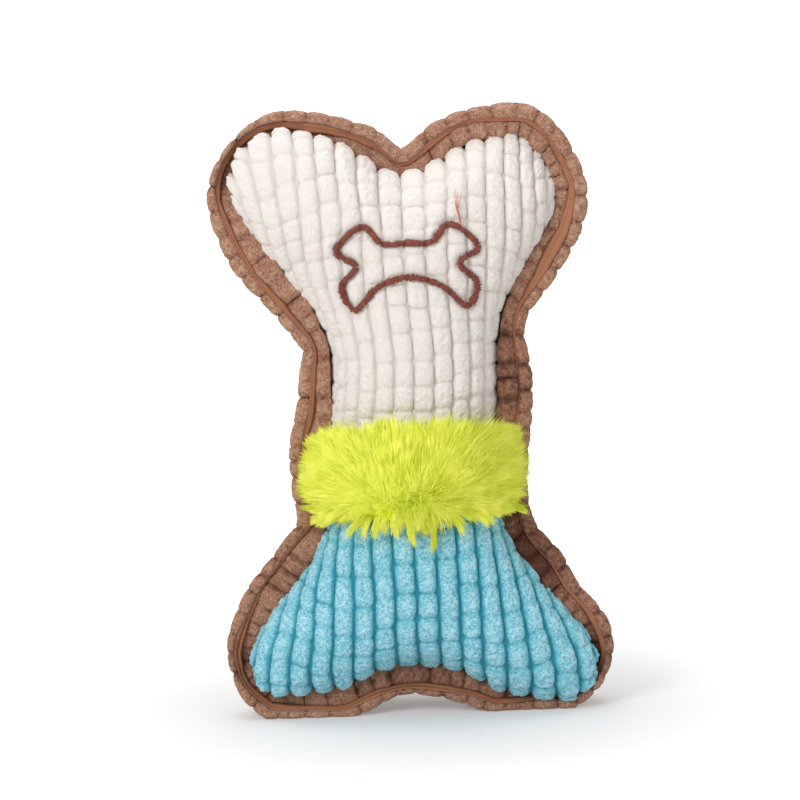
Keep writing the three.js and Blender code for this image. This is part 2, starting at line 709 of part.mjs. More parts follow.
const toy = new THREE.Group();
addTo(toy, 'brown_back_panel', backPanel(), 'brown', 0.95);
addTo(toy, 'rim_backing_strip', rimLayer(STRIP_DEPTH, BACKING_STRIP, RIM_STAND + STRIP_PROUD), 'tan', 0.9);
addTo(toy, 'rim_front_ply', rimLayer(PLY_DEPTH, FRONT_PLY, RIM_STAND - PLY_DROP), 'brown', 0.95);
addTo(toy, 'rim_seam_thread', rimThread(), 'brown', 0.7);
addTo(toy, 'cream_front_panel', creamPanel(), 'cream', 0.95);
addTo(toy, 'lime_fur_band', furBand(), 'lime', 0.9);
addTo(toy, 'turquoise_front_panel', turquoisePanel(), 'turquoise', 0.95);
addTo(toy, 'cream_fur_seam_thread', seamThread(BAND_TOP), 'cream', 0.7);
addTo(toy, 'fur_turquoise_seam_thread', seamThread(BAND_BOTTOM), 'turquoise', 0.7);
addTo(toy, 'bone_embroidery', embroidery(), 'redBrown', 0.5);
for (const [name, geometry] of Object.entries(stuffingWads())) {
  addTo(toy, name, geometry, 'fibre', 1);
}

const squeaker = new THREE.Group();
squeaker.position.set(0, 0, SQUEAKER_HEIGHT);
addTo(squeaker, 'squeaker_bulb', bulb(), 'plasticClear', 0.45);
addTo(squeaker, 'squeaker_sleeve', sleeve(), 'plasticWhite', 0.4);
addTo(squeaker, 'squeaker_reed_block', reedBlock(), 'plasticWhite', 0.4);
addTo(squeaker, 'squeaker_reed_wedge', reedWedge(), 'plasticWhite', 0.4);
addTo(squeaker, 'squeaker_reed', reed(), 'plasticClear', 0.3);
toy.add(squeaker);

// The origin is on the floor, under the middle of the toy's box
const box = new THREE.Box3().setFromObject(toy, true);
toy.position.y = -(box.min.y + box.max.y) / 2;

export default toy;
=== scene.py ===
"""Looks of a stuffed, bone-shaped squeaky toy: corduroy skins, a layered rim, a fur band and stitching."""

import math
from itertools import product

import bmesh
import bpy
import numpy as np
from bpy.props import FloatProperty, FloatVectorProperty, IntProperty, PointerProperty
from mathutils import Matrix, Vector


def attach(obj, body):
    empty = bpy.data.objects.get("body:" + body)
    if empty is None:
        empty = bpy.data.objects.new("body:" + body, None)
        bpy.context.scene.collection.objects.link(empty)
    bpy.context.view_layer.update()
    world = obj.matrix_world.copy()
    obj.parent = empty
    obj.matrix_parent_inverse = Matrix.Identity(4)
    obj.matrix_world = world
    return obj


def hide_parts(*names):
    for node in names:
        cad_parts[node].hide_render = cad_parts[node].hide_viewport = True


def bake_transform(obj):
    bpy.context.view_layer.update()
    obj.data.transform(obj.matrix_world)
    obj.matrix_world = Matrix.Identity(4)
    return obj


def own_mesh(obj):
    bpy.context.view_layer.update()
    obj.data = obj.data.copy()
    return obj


bl_info = {
    "name": "Stuffed bone toy",
    "version": (1, 0, 0),
    "blender": (4, 5, 0),
    "location": "View3D > Sidebar > Bone toy",
    "description": "Dresses the solids of a stuffed bone toy in corduroy, fur and stitching",
    "category": "Object",
}

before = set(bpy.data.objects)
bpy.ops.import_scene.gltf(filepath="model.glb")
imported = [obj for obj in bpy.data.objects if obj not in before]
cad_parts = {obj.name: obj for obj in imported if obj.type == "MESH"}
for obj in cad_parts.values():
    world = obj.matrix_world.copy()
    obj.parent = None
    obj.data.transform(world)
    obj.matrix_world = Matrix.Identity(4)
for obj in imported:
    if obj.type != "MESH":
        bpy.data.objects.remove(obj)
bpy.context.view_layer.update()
MM = 0.001

# Outline of the bone and swell of its body, as in the solids
HEIGHT = 219.5 * MM
UPPER_WIDTH = 138 * MM
LOWER_WIDTH = 140 * MM
WAIST_WIDTH = 79 * MM
WAIST_TOP = 128 * MM
WAIST_BOTTOM = 84 * MM
WAIST_MIDDLE = 106 * MM
CREST_SPACING = 82 * MM
FOOT_SPACING = 88 * MM
UPPER_KNOB_DROP = 29.5 * MM
LOWER_KNOB_RISE = 23 * MM
NOTCH_DEPTH = 14.5 * MM
ARCH_RISE = 6 * MM
FLANK_SWEEP = 21 * MM
NOTCH_SWEEP = 9 * MM
FOOT_FLAT = 2.5 * MM
QUARTER_ROUND = 0.55
SLACK_ROUND = 0.45
SEAM_Y = 6 * MM  # the plane in which front and back are sewn together
FRONT_BULGE = 29 * MM
BACK_BULGE = 27 * MM
FRONT_FULLNESS = 2.3
BACK_FULLNESS = 3.0
SPINE_TOP = 165 * MM
SPINE_BOTTOM = 50 * MM
PANEL_INSET = 9.5 * MM
WAIST_LEAN = math.radians(14)
BAND_BOTTOM = 72 * MM
BAND_TOP = 100 * MM
SEAM_HALF_SLOT = 0.65 * MM
MOTIF_CENTRE = (0.8 * MM, 164.6 * MM)
MOTIF_HALF = (25 * MM, 14.65 * MM)
SQUEAKER_HEIGHT = 152 * MM
BULB_RADIUS = 22 * MM
BULB_HALF = 11 * MM
BULB_HOLE = 5.5 * MM

# Where the stuffing pushes the front out of its even shape: place, reach and push, in the front plane
STUFFING_PUSHES = (
    ((-64, 188), 15, (-2.6, 0.6)),
    ((-60, 204), 14, (-8.0, 5.2)),
    ((-44, 210), 17, (-1.2, 5.6)),
    ((-20, 203), 14, (0, 3.2)),
    ((0, 196), 11, (0, 2.4)),
    ((10, 198), 12, (0, 2.0)),
    ((62, 14), 18, (7.6, -2.6)),
    ((60, 28), 13, (2.4, 0)),
    ((46, 6), 20, (0.6, -7.4)),
    ((-60, 16), 16, (-5.2, -1.4)),
    ((-44, 6), 16, (0, -2.6)),
    ((0, 13), 14, (0, 2.2)),
    ((-16, 69), 15, (0, 3.6)),
    ((16, 69), 15, (0, 3.6)),
)
# Where the whole edge stands off its even outline: place, reach and push, in the front plane
EDGE_PUSHES = (
    ((-16, 208), 13, (0, 2.4)),
    ((0, 202), 5, (0, -2.0)),
    ((-9, 206), 7, (0, 2.4)),
    ((9, 208), 6, (0, 2.0)),
    ((18, 211), 11, (0, 2.8)),
    ((56, 160), 14, (-0.9, 0)),
    ((65, 196), 22, (-4.4, -0.8)),
    ((47, 142), 11, (-4.2, 0)),
    ((40, 112), 16, (1.6, 0)),
    ((45, 67), 9, (-2.2, 0)),
    ((61, 46), 10, (-2.4, -1)),
    ((-40, 135), 6, (2.2, 0)),
    ((-40, 95), 14, (-2.8, 0)),
    ((-41, 81), 6, (-1.4, 0)),
    ((-60, 50), 10, (-1.4, 0)),
    ((-41, 71), 7, (2.4, 0)),
    ((-61, 160), 15, (-2, -1)),
    ((-70, 17), 14, (1.6, 0)),
    ((-22, 3), 9, (0, -1.4)),
    ((-5, 5), 10, (0, 1.8)),
    ((26, 3), 14, (0, -1.2)),
)
SWAY = 2.2 * MM  # how far the waist has shifted to the right under the stuffing
SWAY_HEIGHT = 131 * MM
SWAY_REACH = 21 * MM
FLOOR_CLEAR = 0.15 * MM  # how far the cloth keeps above the floor
FRONT_CLEAR = 0.5 * MM  # and how far the front pieces do
TAN_CLEAR = 0.2 * MM  # and how far the tan strip of the rim does
SEWN = 3.5 * MM  # up to here in front of the seam the rim holds the cloth
FREE = 9.5 * MM  # and from here on the stuffing moves it freely
LUMP = 0.8 * MM  # how far lumps of stuffing move the front in and out
LUMP_SIZES = (23 * MM, 11 * MM)

CORDUROY = "_corduroy"  # after the name of a colour: the slot and finish of that corduroy


def srgb(red, green, blue):
    """A colour picked on screen, 0 to 255, as Blender's linear colour."""
    shares = [channel / 255 for channel in (red, green, blue)]
    return tuple(s / 12.92 if s <= 0.04045 else ((s + 0.055) / 1.055) ** 2.4 for s in shares)


def length(name, description, default):
    return FloatProperty(
        name=name, description=description, default=default, min=0, unit="LENGTH", precision=5
    )


def whole(name, description, default):
    return IntProperty(name=name, description=description, default=default)


def tilt(name, description, degrees):
    return FloatProperty(name=name, description=description, default=math.radians(degrees), subtype="ANGLE")


def watts(name, description, default):
    return FloatProperty(name=name, description=description, default=default, min=0, unit="POWER")


def colour(name, description, *channels):
    return FloatVectorProperty(
        name=name, description=description, default=srgb(*channels), subtype="COLOR", size=3, min=0, max=1
    )


class BoneToyCloth(bpy.types.PropertyGroup):
    """Sizes of the corduroy."""

    cream_pitch: length("Cream pitch", "From one cream cord to the next", 7.5 * MM)
    cream_kernel: length("Cream kernel", "From one nick across a cream cord to the next", 9.0 * MM)
    turquoise_pitch: length("Turquoise pitch", "From one turquoise cord to the next", 7.8 * MM)
    turquoise_kernel: length(
        "Turquoise kernel", "From one nick across a turquoise cord to the next", 9.9 * MM
    )
    brown_pitch: length("Brown pitch", "From one brown cord to the next", 7.8 * MM)
    brown_kernel: length("Brown kernel", "From one nick across a brown cord to the next", 9.2 * MM)
    pile: length("Pile height", "From the bottom of a groove to the crown of a cord", 2.3 * MM)
    fuzz: length("Fuzz", "How far single tufts stand out of the pile", 0.4 * MM)
    grain: length("Mesh grain", "Distance between mesh points along a front cord", 0.42 * MM)
    back_grain: length("Back mesh grain", "Distance between mesh points along a back cord", 0.62 * MM)


class BoneToyFur(bpy.types.PropertyGroup):
    """Sizes of the fur band."""

    strand: length("Strand length", "Mean length of a strand", 15.5 * MM)
    thickness: length("Strand radius", "Radius of a strand at its root", 0.15 * MM)
    strands: whole("Strands", "Number of strands in each quarter of the band", 12000)
    tufts: whole("Tufts", "Number of tufts in each quarter of the band", 200)


class BoneToyColours(bpy.types.PropertyGroup):
    """Colours of the cloths, threads and plastics."""

    cream: colour("Cream", "Crowns of the cream corduroy", 244, 237, 231)
    cream_groove: colour("Cream groove", "Between the cream cords", 236, 227, 218)
    cream_fleck: colour("Cream fleck", "Single pale tufts of the cream corduroy", 247, 243, 239)
    turquoise: colour("Turquoise", "Crowns of the turquoise corduroy", 128, 204, 222)
    turquoise_groove: colour("Turquoise groove", "Between the turquoise cords", 60, 160, 180)
    turquoise_fleck: colour("Turquoise fleck", "Single pale tufts of the turquoise corduroy", 198, 238, 250)
    brown: colour("Brown", "Crowns of the brown corduroy", 172, 125, 101)
    # the brown groove colour is dark enough to stand partly for painted shade in the grooves, nicks and
    # creases of the cloth
    brown_groove: colour("Brown groove", "Between the brown cords", 74, 40, 30)
    brown_fleck: colour("Brown fleck", "Single pale tufts of the brown corduroy", 216, 179, 153)
    tan: colour("Tan", "Smooth backing of the rim", 170, 114, 84)
    # painted shade and highlight: the fur is drawn darker at its root, deep in the pile, and paler at its
    # tips
    lime_root: colour("Lime root", "Fur at the skin", 190, 206, 2)
    lime_tip: colour("Lime tip", "Fur at the tips", 252, 253, 112)
    embroidery: colour("Embroidery", "Satin stitch of the small bone", 146, 72, 56)
    loose_end: colour("Loose end", "Thread end above the small bone", 214, 128, 84)
    sewing: colour("Sewing thread", "Seams", 128, 90, 70)
    fibre: colour("Stuffing", "Polyester fibre", 246, 245, 241)
    soft_plastic: colour("Soft plastic", "Squeaker bulb and reed", 222, 230, 230)
    hard_plastic: colour("Hard plastic", "Squeaker sleeve and clamp", 234, 233, 227)


class BoneToyStage(bpy.types.PropertyGroup):
    """Camera and light."""

    distance: length("Camera distance", "From the camera to the middle of the toy", 1.311)
    elevation: tilt("Elevation", "Of the camera over the floor", 8)
    roll: tilt("Roll", "Of the camera about its axis", 2.1)
    key: watts("Key light", "From the upper left", 8.4)
    top: watts("Top light", "From overhead", 6.0)
    fill: watts("Fill light", "From the right", 1.8)
    ambient: FloatProperty(name="Ambient", description="Even light from all round", default=0.4, min=0)


# Numbers that look random but are the same in each run


def scatter(seed, *keys):
    """A number from 0 to 1 for each set of whole-number keys."""
    mixed = np.full(np.broadcast(*keys).shape, 2166136261 + 97 * seed, np.int64)
    for key in keys:
        mixed = (mixed ^ (np.asarray(key, np.int64) * 73856093 + 374761393)) * 668265263
        mixed ^= mixed >> 15
        mixed &= 0xFFFFFFFF
    mixed = (mixed * 2246822519) & 0xFFFFFFFF
    mixed ^= mixed >> 13
    return (mixed & 0xFFFFFF) / 0xFFFFFF


def smooth(low, high, value):
    """A soft step from 0 at the low value to 1 at the high one."""
    share = np.clip((value - low) / (high - low), 0, 1)
    return share * share * (3 - 2 * share)


def noise(seed, cell, *axes):
    """Smooth noise from -1 to 1 with lumps about one cell across, over one, two or three axes."""
    grid = [np.asarray(axis) / cell for axis in axes]
    base = [np.floor(g) for g in grid]
    share = [smooth(0, 1, g - b) for g, b in zip(grid, base)]
    total = 0
    for corner in product((0, 1), repeat=len(grid)):
        weight = 1
        for step, s in zip(corner, share):
            weight = weight * (s if step else 1 - s)
        total = total + weight * scatter(seed, *[b + step for b, step in zip(base, corner)])
    return 2 * total - 1


# Forms that many pieces share
TINY = 1e-12


def soft_bump(away, reach):
    """1 at a place, and nearly 0 two reaches away from it."""
    return np.exp(-((away / reach) ** 2))


def bow(share, fullness):
    """A rounded swell, 1 in its middle and 0 at its edge; the fuller it is, the flatter its top."""
    return np.sqrt(np.clip(1 - share**fullness, 0, 1))


def off_middle(place):
    """How far a place lies from the middle (0) to the ends (1) of the whole step that it falls in."""
    return np.abs(2 * (place - np.floor(place)) - 1)


def unit(vectors, least=0.0):
    """The same directions with a length of 1."""
    return vectors / (np.linalg.norm(vectors, axis=-1)[..., None] + least)


def along_and_across(ring):
    """Directions along a closed line in the front plane, and across it."""
    along = unit(np.roll(ring, -1, 0) - np.roll(ring, 1, 0))
    return along, np.stack([-along[:, 1], along[:, 0]], 1)


def reach_along(points):
    """Distance of each point from the first one, along the line."""
    return np.concatenate([[0], np.cumsum(np.linalg.norm(np.diff(points, axis=0), axis=1))])


def picked(at, reach, points):
    """Points of a line at distances along it."""
    return np.stack([np.interp(at, reach, axis) for axis in points.T], 1)


def even(points, count):
    """The same line with evenly spaced points."""
    reach = reach_along(points)
    return picked(np.linspace(0, reach[-1], count), reach, points)


# Outline and swell of the bone
HALF_EDGE_STEPS = 1500
GIRTH_STEPS = 180


def curve(*handles, steps=120):
    """Points along a cubic curve, without its last one."""
    t = np.linspace(0, 1, steps, endpoint=False)[:, None]
    a, b, c, d = [np.array(handle, float) for handle in handles]
    return (1 - t) ** 3 * a + 3 * (1 - t) ** 2 * t * b + 3 * (1 - t) * t * t * c + t**3 * d


def right_half():
    """The outline's right half, from the notch down to the arch."""
    crest = (CREST_SPACING / 2, HEIGHT)
    upper = (UPPER_WIDTH / 2, HEIGHT - UPPER_KNOB_DROP)
    lower = (LOWER_WIDTH / 2, LOWER_KNOB_RISE)
    foot = (FOOT_SPACING / 2, -FOOT_FLAT)
    waist_top = (WAIST_WIDTH / 2, WAIST_TOP)
    waist_bottom = (WAIST_WIDTH / 2, WAIST_BOTTOM)
    notch = HEIGHT - NOTCH_DEPTH

    def between(start, end, share):
        return start + (end - start) * share

    def swept(point, way):
        return point[0], point[1] + way * FLANK_SWEEP

    return np.concatenate([
        curve((0, notch), (NOTCH_SWEEP, notch), (crest[0] / 2, crest[1]), crest),
        curve(
            crest,
            (between(crest[0], upper[0], SLACK_ROUND), crest[1]),
            (upper[0], between(upper[1], crest[1], SLACK_ROUND)),
            upper,
        ),
        curve(upper, swept(upper, -1), swept(waist_top, 1), waist_top),
        np.array([waist_top]),
        curve(waist_bottom, swept(waist_bottom, -1), swept(lower, 1), lower),
        curve(
            lower,
            (lower[0], between(lower[1], foot[1], QUARTER_ROUND)),
            (between(foot[0], lower[0], QUARTER_ROUND), foot[1]),
            foot,
        ),
        curve(foot, (foot[0] / 2, foot[1]), (foot[0] / 2, ARCH_RISE), (0, ARCH_RISE)),
        np.array([[0, ARCH_RISE]]),
    ])


class Outline:
    """The closed outline from the notch round by the right: points, outward directions, lean of the rim."""

    def __init__(self, count):
        right = even(right_half(), count // 2 + 1)
        left = right[-2:0:-1] * (-1, 1)
        self.points = np.concatenate([right, left])
        _, self.outward = along_and_across(self.points)
        rise = np.sin(math.pi * np.clip(self.points[:, 1], 0, HEIGHT) / HEIGHT)
        self.lean = WAIST_LEAN * rise**2
        step = np.linalg.norm(self.points - np.roll(self.points, 1, 0), axis=1)
        self.reach = np.cumsum(step)
        self.zero = np.zeros(len(self.points))

    def wave(self, seed, size, height):
        """Smooth waves along the outline, about a size long and up to a height, both in millimetres."""
        return height * MM * noise(seed, size * MM, self.reach)

    def drawn_in(self, inset):
        edge = self.points - self.outward * inset
        edge[:, 1] = np.maximum(edge[:, 1], inset)
        return edge

    def rim(self, depth, stand):
        """Places in the rim: depth is measured in from its outer face, stand forward from the seam."""
        out = -depth * np.cos(self.lean) + stand * np.sin(self.lean)
        forward = depth * np.sin(self.lean) + stand * np.cos(self.lean)
        flat = self.points + self.outward * out[:, None]
        return np.stack([flat[:, 0], SEAM_Y - forward, np.maximum(flat[:, 1], depth)], 1)


class Dome:
    """A stuffed swell from the spine to the outline drawn in by an inset; facing is -1 in front, 1 behind."""

    def __init__(self, facing, inset, bulge, fullness):
        self.facing, self.bulge, self.fullness = facing, bulge, fullness
        edge = Outline(2 * HALF_EDGE_STEPS).drawn_in(inset)[: HALF_EDGE_STEPS + 1]
        level = edge[(edge[:, 1] <= SPINE_TOP) & (edge[:, 1] >= SPINE_BOTTOM)][::-1]
        self.level = level[:, 1], level[:, 0]
        self.top = self.fan(edge[edge[:, 1] >= SPINE_TOP], SPINE_TOP)
        self.bottom = self.fan(edge[edge[:, 1] <= SPINE_BOTTOM], SPINE_BOTTOM)
        # half widths from the waist to the widest place of either end, for the run of the cords
        self.widths = {}
        for sign in (1, -1):
            rows = edge[sign * (edge[:, 1] - WAIST_MIDDLE) >= 0]
            rows = rows[np.argsort(sign * rows[:, 1])]
            widest = np.argmax(rows[:, 0])
            self.widths[sign] = sign * (rows[: widest + 1, 1] - WAIST_MIDDLE), rows[: widest + 1, 0]

    @staticmethod
    def fan(edge, centre):
        angle = np.arctan2(np.abs(edge[:, 1] - centre), edge[:, 0])
        order = np.argsort(angle)
        return angle[order], np.hypot(edge[:, 0], edge[:, 1] - centre)[order]

    def share(self, x, z):
        """How far a place is from the spine (0) to the edge (1)."""
        x = np.abs(x)
        over, under = z - SPINE_TOP, SPINE_BOTTOM - z
        level = x / np.interp(z, *self.level)
        top = np.hypot(x, over) / np.interp(np.arctan2(over, x), *self.top)
        bottom = np.hypot(x, under) / np.interp(np.arctan2(under, x), *self.bottom)
        return np.where(over > 0, top, np.where(under > 0, bottom, level))

    def depth(self, x, z):
        return SEAM_Y + self.facing * self.bulge * bow(self.share(x, z), self.fullness)

    def normal(self, x, z):
        share = np.clip(self.share(x, z), 1e-4, 1)
        step = 0.3 * MM
        steep = self.fullness * share ** (self.fullness - 1)
        along_x = steep * (self.share(x + step, z) - self.share(x - step, z)) / (2 * step)
        along_z = steep * (self.share(x, z + step) - self.share(x, z - step)) / (2 * step)
        out = self.facing * 2 * bow(share, self.fullness) / self.bulge
        return unit(np.stack([along_x, out, along_z], -1))

    def lifted(self, x, z, lift):
        """Places at a distance in front of the swell."""
        return np.stack([x, self.depth(x, z), z], -1) + self.normal(x, z) * lift[..., None]

    def girth(self, sign, rise):
        """Across levels of the body: distances along the cloth from the middle, and the places reached."""
        half_width = np.interp(rise, *self.widths[sign])
        share = 1 - np.linspace(1, 0, GIRTH_STEPS) ** 2
        x = half_width[:, None] * share
        y = np.broadcast_to(self.bulge * bow(share, self.fullness), x.shape)
        run = np.hypot(np.diff(x, axis=1), np.diff(y, axis=1))
        return np.concatenate([np.zeros((len(x), 1)), np.cumsum(run, axis=1)], 1), x


FRONT = Dome(-1, PANEL_INSET, FRONT_BULGE, FRONT_FULLNESS)
BACK = Dome(1, 0, BACK_BULGE, BACK_FULLNESS)


def push(moved, points, pushes, share):
    """Moves points by the soft pushes near them, each by its own share."""
    for place, reach, (right, up) in pushes:
        away = np.hypot(points[:, 0] - place[0] * MM, points[:, 2] - place[1] * MM)
        pull = share * MM * soft_bump(away, reach * MM)
        moved[:, 0] += pull * right
        moved[:, 2] += pull * up


def sway(points, share=1.0):
    """Shifts the waist to the right and the edge off its even outline, as the stuffing holds them."""
    moved = points.copy()
    moved[:, 0] += share * SWAY * soft_bump(points[:, 2] - SWAY_HEIGHT, SWAY_REACH)
    push(moved, points, EDGE_PUSHES, share)
    moved[:, 2] = np.maximum(moved[:, 2], FLOOR_CLEAR)
    return moved


def settle(points):
    """Pushes front pieces to where the uneven stuffing holds them; what is sewn to the rim stays."""
    free = smooth(SEWN, FREE, SEAM_Y - points[:, 1])
    moved = sway(points)
    push(moved, points, STUFFING_PUSHES, free)
    x, _, z = points.T
    large, small = LUMP_SIZES
    lump = noise(5, large, x, z) + 0.6 * noise(6, small, x, z)
    moved[:, 1] += LUMP * free * lump
    moved[:, 2] = np.maximum(moved[:, 2], FRONT_CLEAR)
    return moved


# Corduroy
SKIN_LEVELS = 560
COLUMN_SAMPLES = 240
CORD_WANDER = 0.08  # how far a cord strays aside, in cords
CORD_ROUND = 2.8  # fullness of a cord across
KERNEL_ROUND = 3.6  # fullness of a cord between two nicks
NICK_PINCH = 0.6  # how much a nick narrows its cord
TUFT_SIZE = (0.66 * MM, 1.1 * MM)  # along and across the cords
PRESSED = 0.62  # share of the pile that stitching presses down


class Cloth:
    """One corduroy: pitch across, kernel along, share of the pitch that a cord covers, nicks, mesh grain."""

    def __init__(self, settings, name, cover, nicks, grain, columns, fuzz=1.0):
        self.pitch = getattr(settings, name + "_pitch")
        self.kernel = getattr(settings, name + "_kernel")
        self.pile, self.fuzz = settings.pile, fuzz * settings.fuzz
        self.cover, self.nicks, self.grain, self.columns = cover, nicks, grain, columns


def corduroy(cord, run, cloth, seed):
    """Height of the pile, 0 to 1, at places given in cords across and metres along the cords."""
    cord = cord + CORD_WANDER * noise(seed, 1.0, cord / 2.6, run / (15 * MM))
    index = np.floor(cord)
    cover = cloth.cover * (1 + 0.05 * noise(seed + 1, 6 * MM, run + index * 0.31))
    along = run / cloth.kernel + 0.5 * noise(seed + 2, 1.0, index / 3.7)
    along = along + 0.4 * scatter(seed + 2, index, index)
    along = along + 0.2 * noise(seed + 3, 1.0, along * 0.7 + index * 0.37)
    low, high = cloth.nicks
    nick = low + (high - low) * scatter(seed + 4, index, np.rint(along))
    end = bow(off_middle(along), KERNEL_ROUND)
    across = off_middle(cord) / cover * (1 + NICK_PINCH * nick * (1 - end))
    return bow(across, CORD_ROUND) * (1 - nick * (1 - end))


def fuzz(points, seed, along, across):
    """Height of single tufts, about -1 to 1: short streaks across the cloth's run, on a rough ground."""
    streaks = noise(seed, 1.0, along / TUFT_SIZE[0], across / TUFT_SIZE[1])
    return 0.75 * streaks + 0.55 * noise(seed + 1, 0.8 * MM, *points.T)


def pile_lift(pile, tufts, height, roughness):
    """How far the pile stands off the level of its crowns: down in the grooves, rough where it is high."""
    return (pile - 1) * height + roughness * tufts * (0.3 + 0.7 * pile)


def tufted(pile, tufts):
    """Value of the pile for its finish: its height, with the low tufts darker and the high ones lighter; low
    places take the groove colour, partly the cloth's own tone and partly painted shade.
    """
    return np.clip(pile * (0.72 + 0.34 * tufts), 0, 1)


def tidy_faces(quads):
    """Quads as lists, with those that have shrunk to a triangle or a line made triangles or left out."""
    a, b, c, d = quads.T
    same = np.stack([a == b, b == c, c == d, d == a], 1)
    faces = quads[~same.any(1)].tolist()
    single = same.sum(1) == 1
    for side in range(4):
        keep = [k for k in range(4) if k != side]
        faces += quads[single & same[:, side]][:, keep].tolist()
    return faces


class Skin:
    """Half a corduroy panel: a mesh in cloth coordinates laid over a dome, up or down from a level seam."""

    def __init__(self, dome, sign, start, cloth):
        self.sign = sign
        low = sign * (start - WAIST_MIDDLE)
        far = HEIGHT - WAIST_MIDDLE if sign > 0 else WAIST_MIDDLE
        rises = np.linspace(low, far, SKIN_LEVELS)
        runs, reaches = dome.girth(sign, rises)
        limit = runs[:, -1]
        widest = np.argmax(limit)
        span = int(limit.max() / cloth.pitch * cloth.columns)
        cords = np.arange(-span, span + 1) / cloth.columns
        away = np.abs(cords) * cloth.pitch
        table = np.array([np.interp(away, run, reach) for run, reach in zip(runs, reaches)])
        level = WAIST_MIDDLE + sign * rises
        share = dome.share(table, level[:, None])
        share[away[None, :] > limit[:, None] + 1e-9] = 2
        share[-1] = np.maximum(share[-1], 1.5)
        self.cords, self.highs = [], []
        samples = (1 - np.cos(np.linspace(0, math.pi, COLUMN_SAMPLES))) / 2
        columns = []
        for k in range(len(cords)):
            rows = np.flatnonzero(share[:, k] < 1)
            if len(rows) < 2:
                continue
            last = rows[-1]
            step = (1 - share[last, k]) / (share[last + 1, k] - share[last, k])
            high = rises[last] + step * (rises[last + 1] - rises[last])
            starts_at_seam = away[k] <= limit[0]
            first = low if starts_at_seam else np.interp(away[k], limit[: widest + 1], rises[: widest + 1])
            if high - first < 1.2 * cloth.grain:
                continue
            rise = first + (high - first) * samples
            x = np.sign(cords[k]) * np.interp(rise, rises, table[:, k])
            z = WAIST_MIDDLE + sign * rise
            y = dome.depth(x, z)
            y[-1] = SEAM_Y
            if not starts_at_seam:
                y[0] = SEAM_Y
            place = np.stack([x, y, z], 1)
            run = first + reach_along(place)
            columns.append((run, place))
            self.cords.append(cords[k])
            self.highs.append(run[-1])
        self.lay(columns, low, cloth)
        if dome.facing * sign > 0:
            self.faces = [face[::-1] for face in self.faces]

    def lay(self, columns, low, cloth):
        rows = low + cloth.grain * np.arange(int((max(self.highs) - low) / cloth.grain) + 2)
        index = np.zeros((len(columns), len(rows)), np.int64)
        points, runs, cords = [], [], []
        count = 0
        margin = 0.35 * cloth.grain
        for k, (run, place) in enumerate(columns):
            within = (rows > run[0] + margin) & (rows < run[-1] - margin)
            at = np.concatenate([[run[0]], rows[within], [run[-1]]])
            points.append(picked(at, run, place))
            runs.append(at)
            cords.append(np.full(len(at), self.cords[k]))
            index[k] = count
            index[k, within] = count + 1 + np.arange(within.sum())
            index[k, rows >= run[-1] - margin] = count + len(at) - 1
            count += len(at)
        self.points = np.concatenate(points)
        self.runs = self.sign * np.concatenate(runs)
        self.cord = np.concatenate(cords)
        quads = np.stack([index[:-1, :-1], index[1:, :-1], index[1:, 1:], index[:-1, 1:]], -1)
        self.faces = tidy_faces(quads.reshape(-1, 4))


def raised(skin, dome, cloth, seed, pressed=0.0):
    """A skin's points with the pile standing on them, and the pile's shade."""
    pile = corduroy(skin.cord, skin.runs, cloth, seed) * (1 - PRESSED * pressed)
    x, _, z = skin.points.T
    index = np.floor(skin.cord)
    aside = (skin.cord - index - 0.5) * cloth.pitch
    tufts = fuzz(skin.points, seed + 20, skin.runs + 0.55 * np.abs(aside), aside + index * 0.037)
    lift = pile_lift(pile, tufts, cloth.pile, cloth.fuzz)
    return skin.points + dome.normal(x, z) * lift[:, None], tufted(pile, tufts)


# Meshes


def read(mesh, key):
    """Places (co) or normals of a mesh's points."""
    values = np.zeros(len(mesh.vertices) * 3)
    mesh.vertices.foreach_get(key, values)
    return values.reshape(-1, 3)


def put_on(mesh, look, **numbers):
    """Gives a mesh its only finish, smooth shading and numbers on its points that the finish reads."""
    for key, values in numbers.items():
        mesh.attributes.new(key, "FLOAT", "POINT").data.foreach_set("value", np.asarray(values, np.float32))
    mesh.shade_smooth()
    mesh.materials.clear()
    mesh.materials.append(look)


def piece(name, points, faces, look, **numbers):
    """A smooth-shaded mesh object with numbers on its points."""
    mesh = bpy.data.meshes.new(name)
    mesh.from_pydata(np.asarray(points).tolist(), [], faces)
    mesh.validate()
    put_on(mesh, look, **numbers)
    made = bpy.data.objects.new(name, mesh)
    bpy.context.scene.collection.objects.link(made)
    return made


def tubes(paths, radii, sides, pointed=False):
    """Closed tubes along many paths of the same number of points: their points and faces."""
    count, steps, _ = paths.shape
    along = unit(np.gradient(paths, axis=1), TINY)
    cross = np.eye(3)[np.argmin(np.abs(paths[:, -1] - paths[:, 0]), axis=1)]
    side = unit(np.cross(along, cross[:, None, :]), TINY)
    up = np.cross(side, along)
    turn = 2 * math.pi * np.arange(sides) / sides
    ring = np.cos(turn)[:, None] * side[:, :, None, :] + np.sin(turn)[:, None] * up[:, :, None, :]
    radii = np.broadcast_to(radii, (count, steps))
    points = paths[:, :, None, :] + radii[:, :, None, None] * ring
    rings = steps - 1 if pointed else steps
    size = rings * sides + (1 if pointed else 0)
    points = points[:, :rings].reshape(count, rings * sides, 3)
    if pointed:
        points = np.concatenate([points, paths[:, -1:, :]], 1)
    corner = np.arange(sides)
    after = (corner + 1) % sides
    faces = []
    start = np.arange(count)[:, None] * size
    for k in range(rings - 1):
        low, high = k * sides, (k + 1) * sides
        quad = np.stack([low + after, low + corner, high + corner, high + after], 1)
        faces += (start[:, :, None] + quad[None]).reshape(-1, 4).tolist()
    last = (rings - 1) * sides
    faces += (start + corner).tolist()
    if pointed:
        tip = np.stack([last + after, last + corner, np.full(sides, size - 1)], 1)
        faces += (start[:, :, None] + tip[None]).reshape(-1, 3).tolist()
    else:
        faces += (start + last + corner[::-1]).tolist()
    return points.reshape(-1, 3), faces


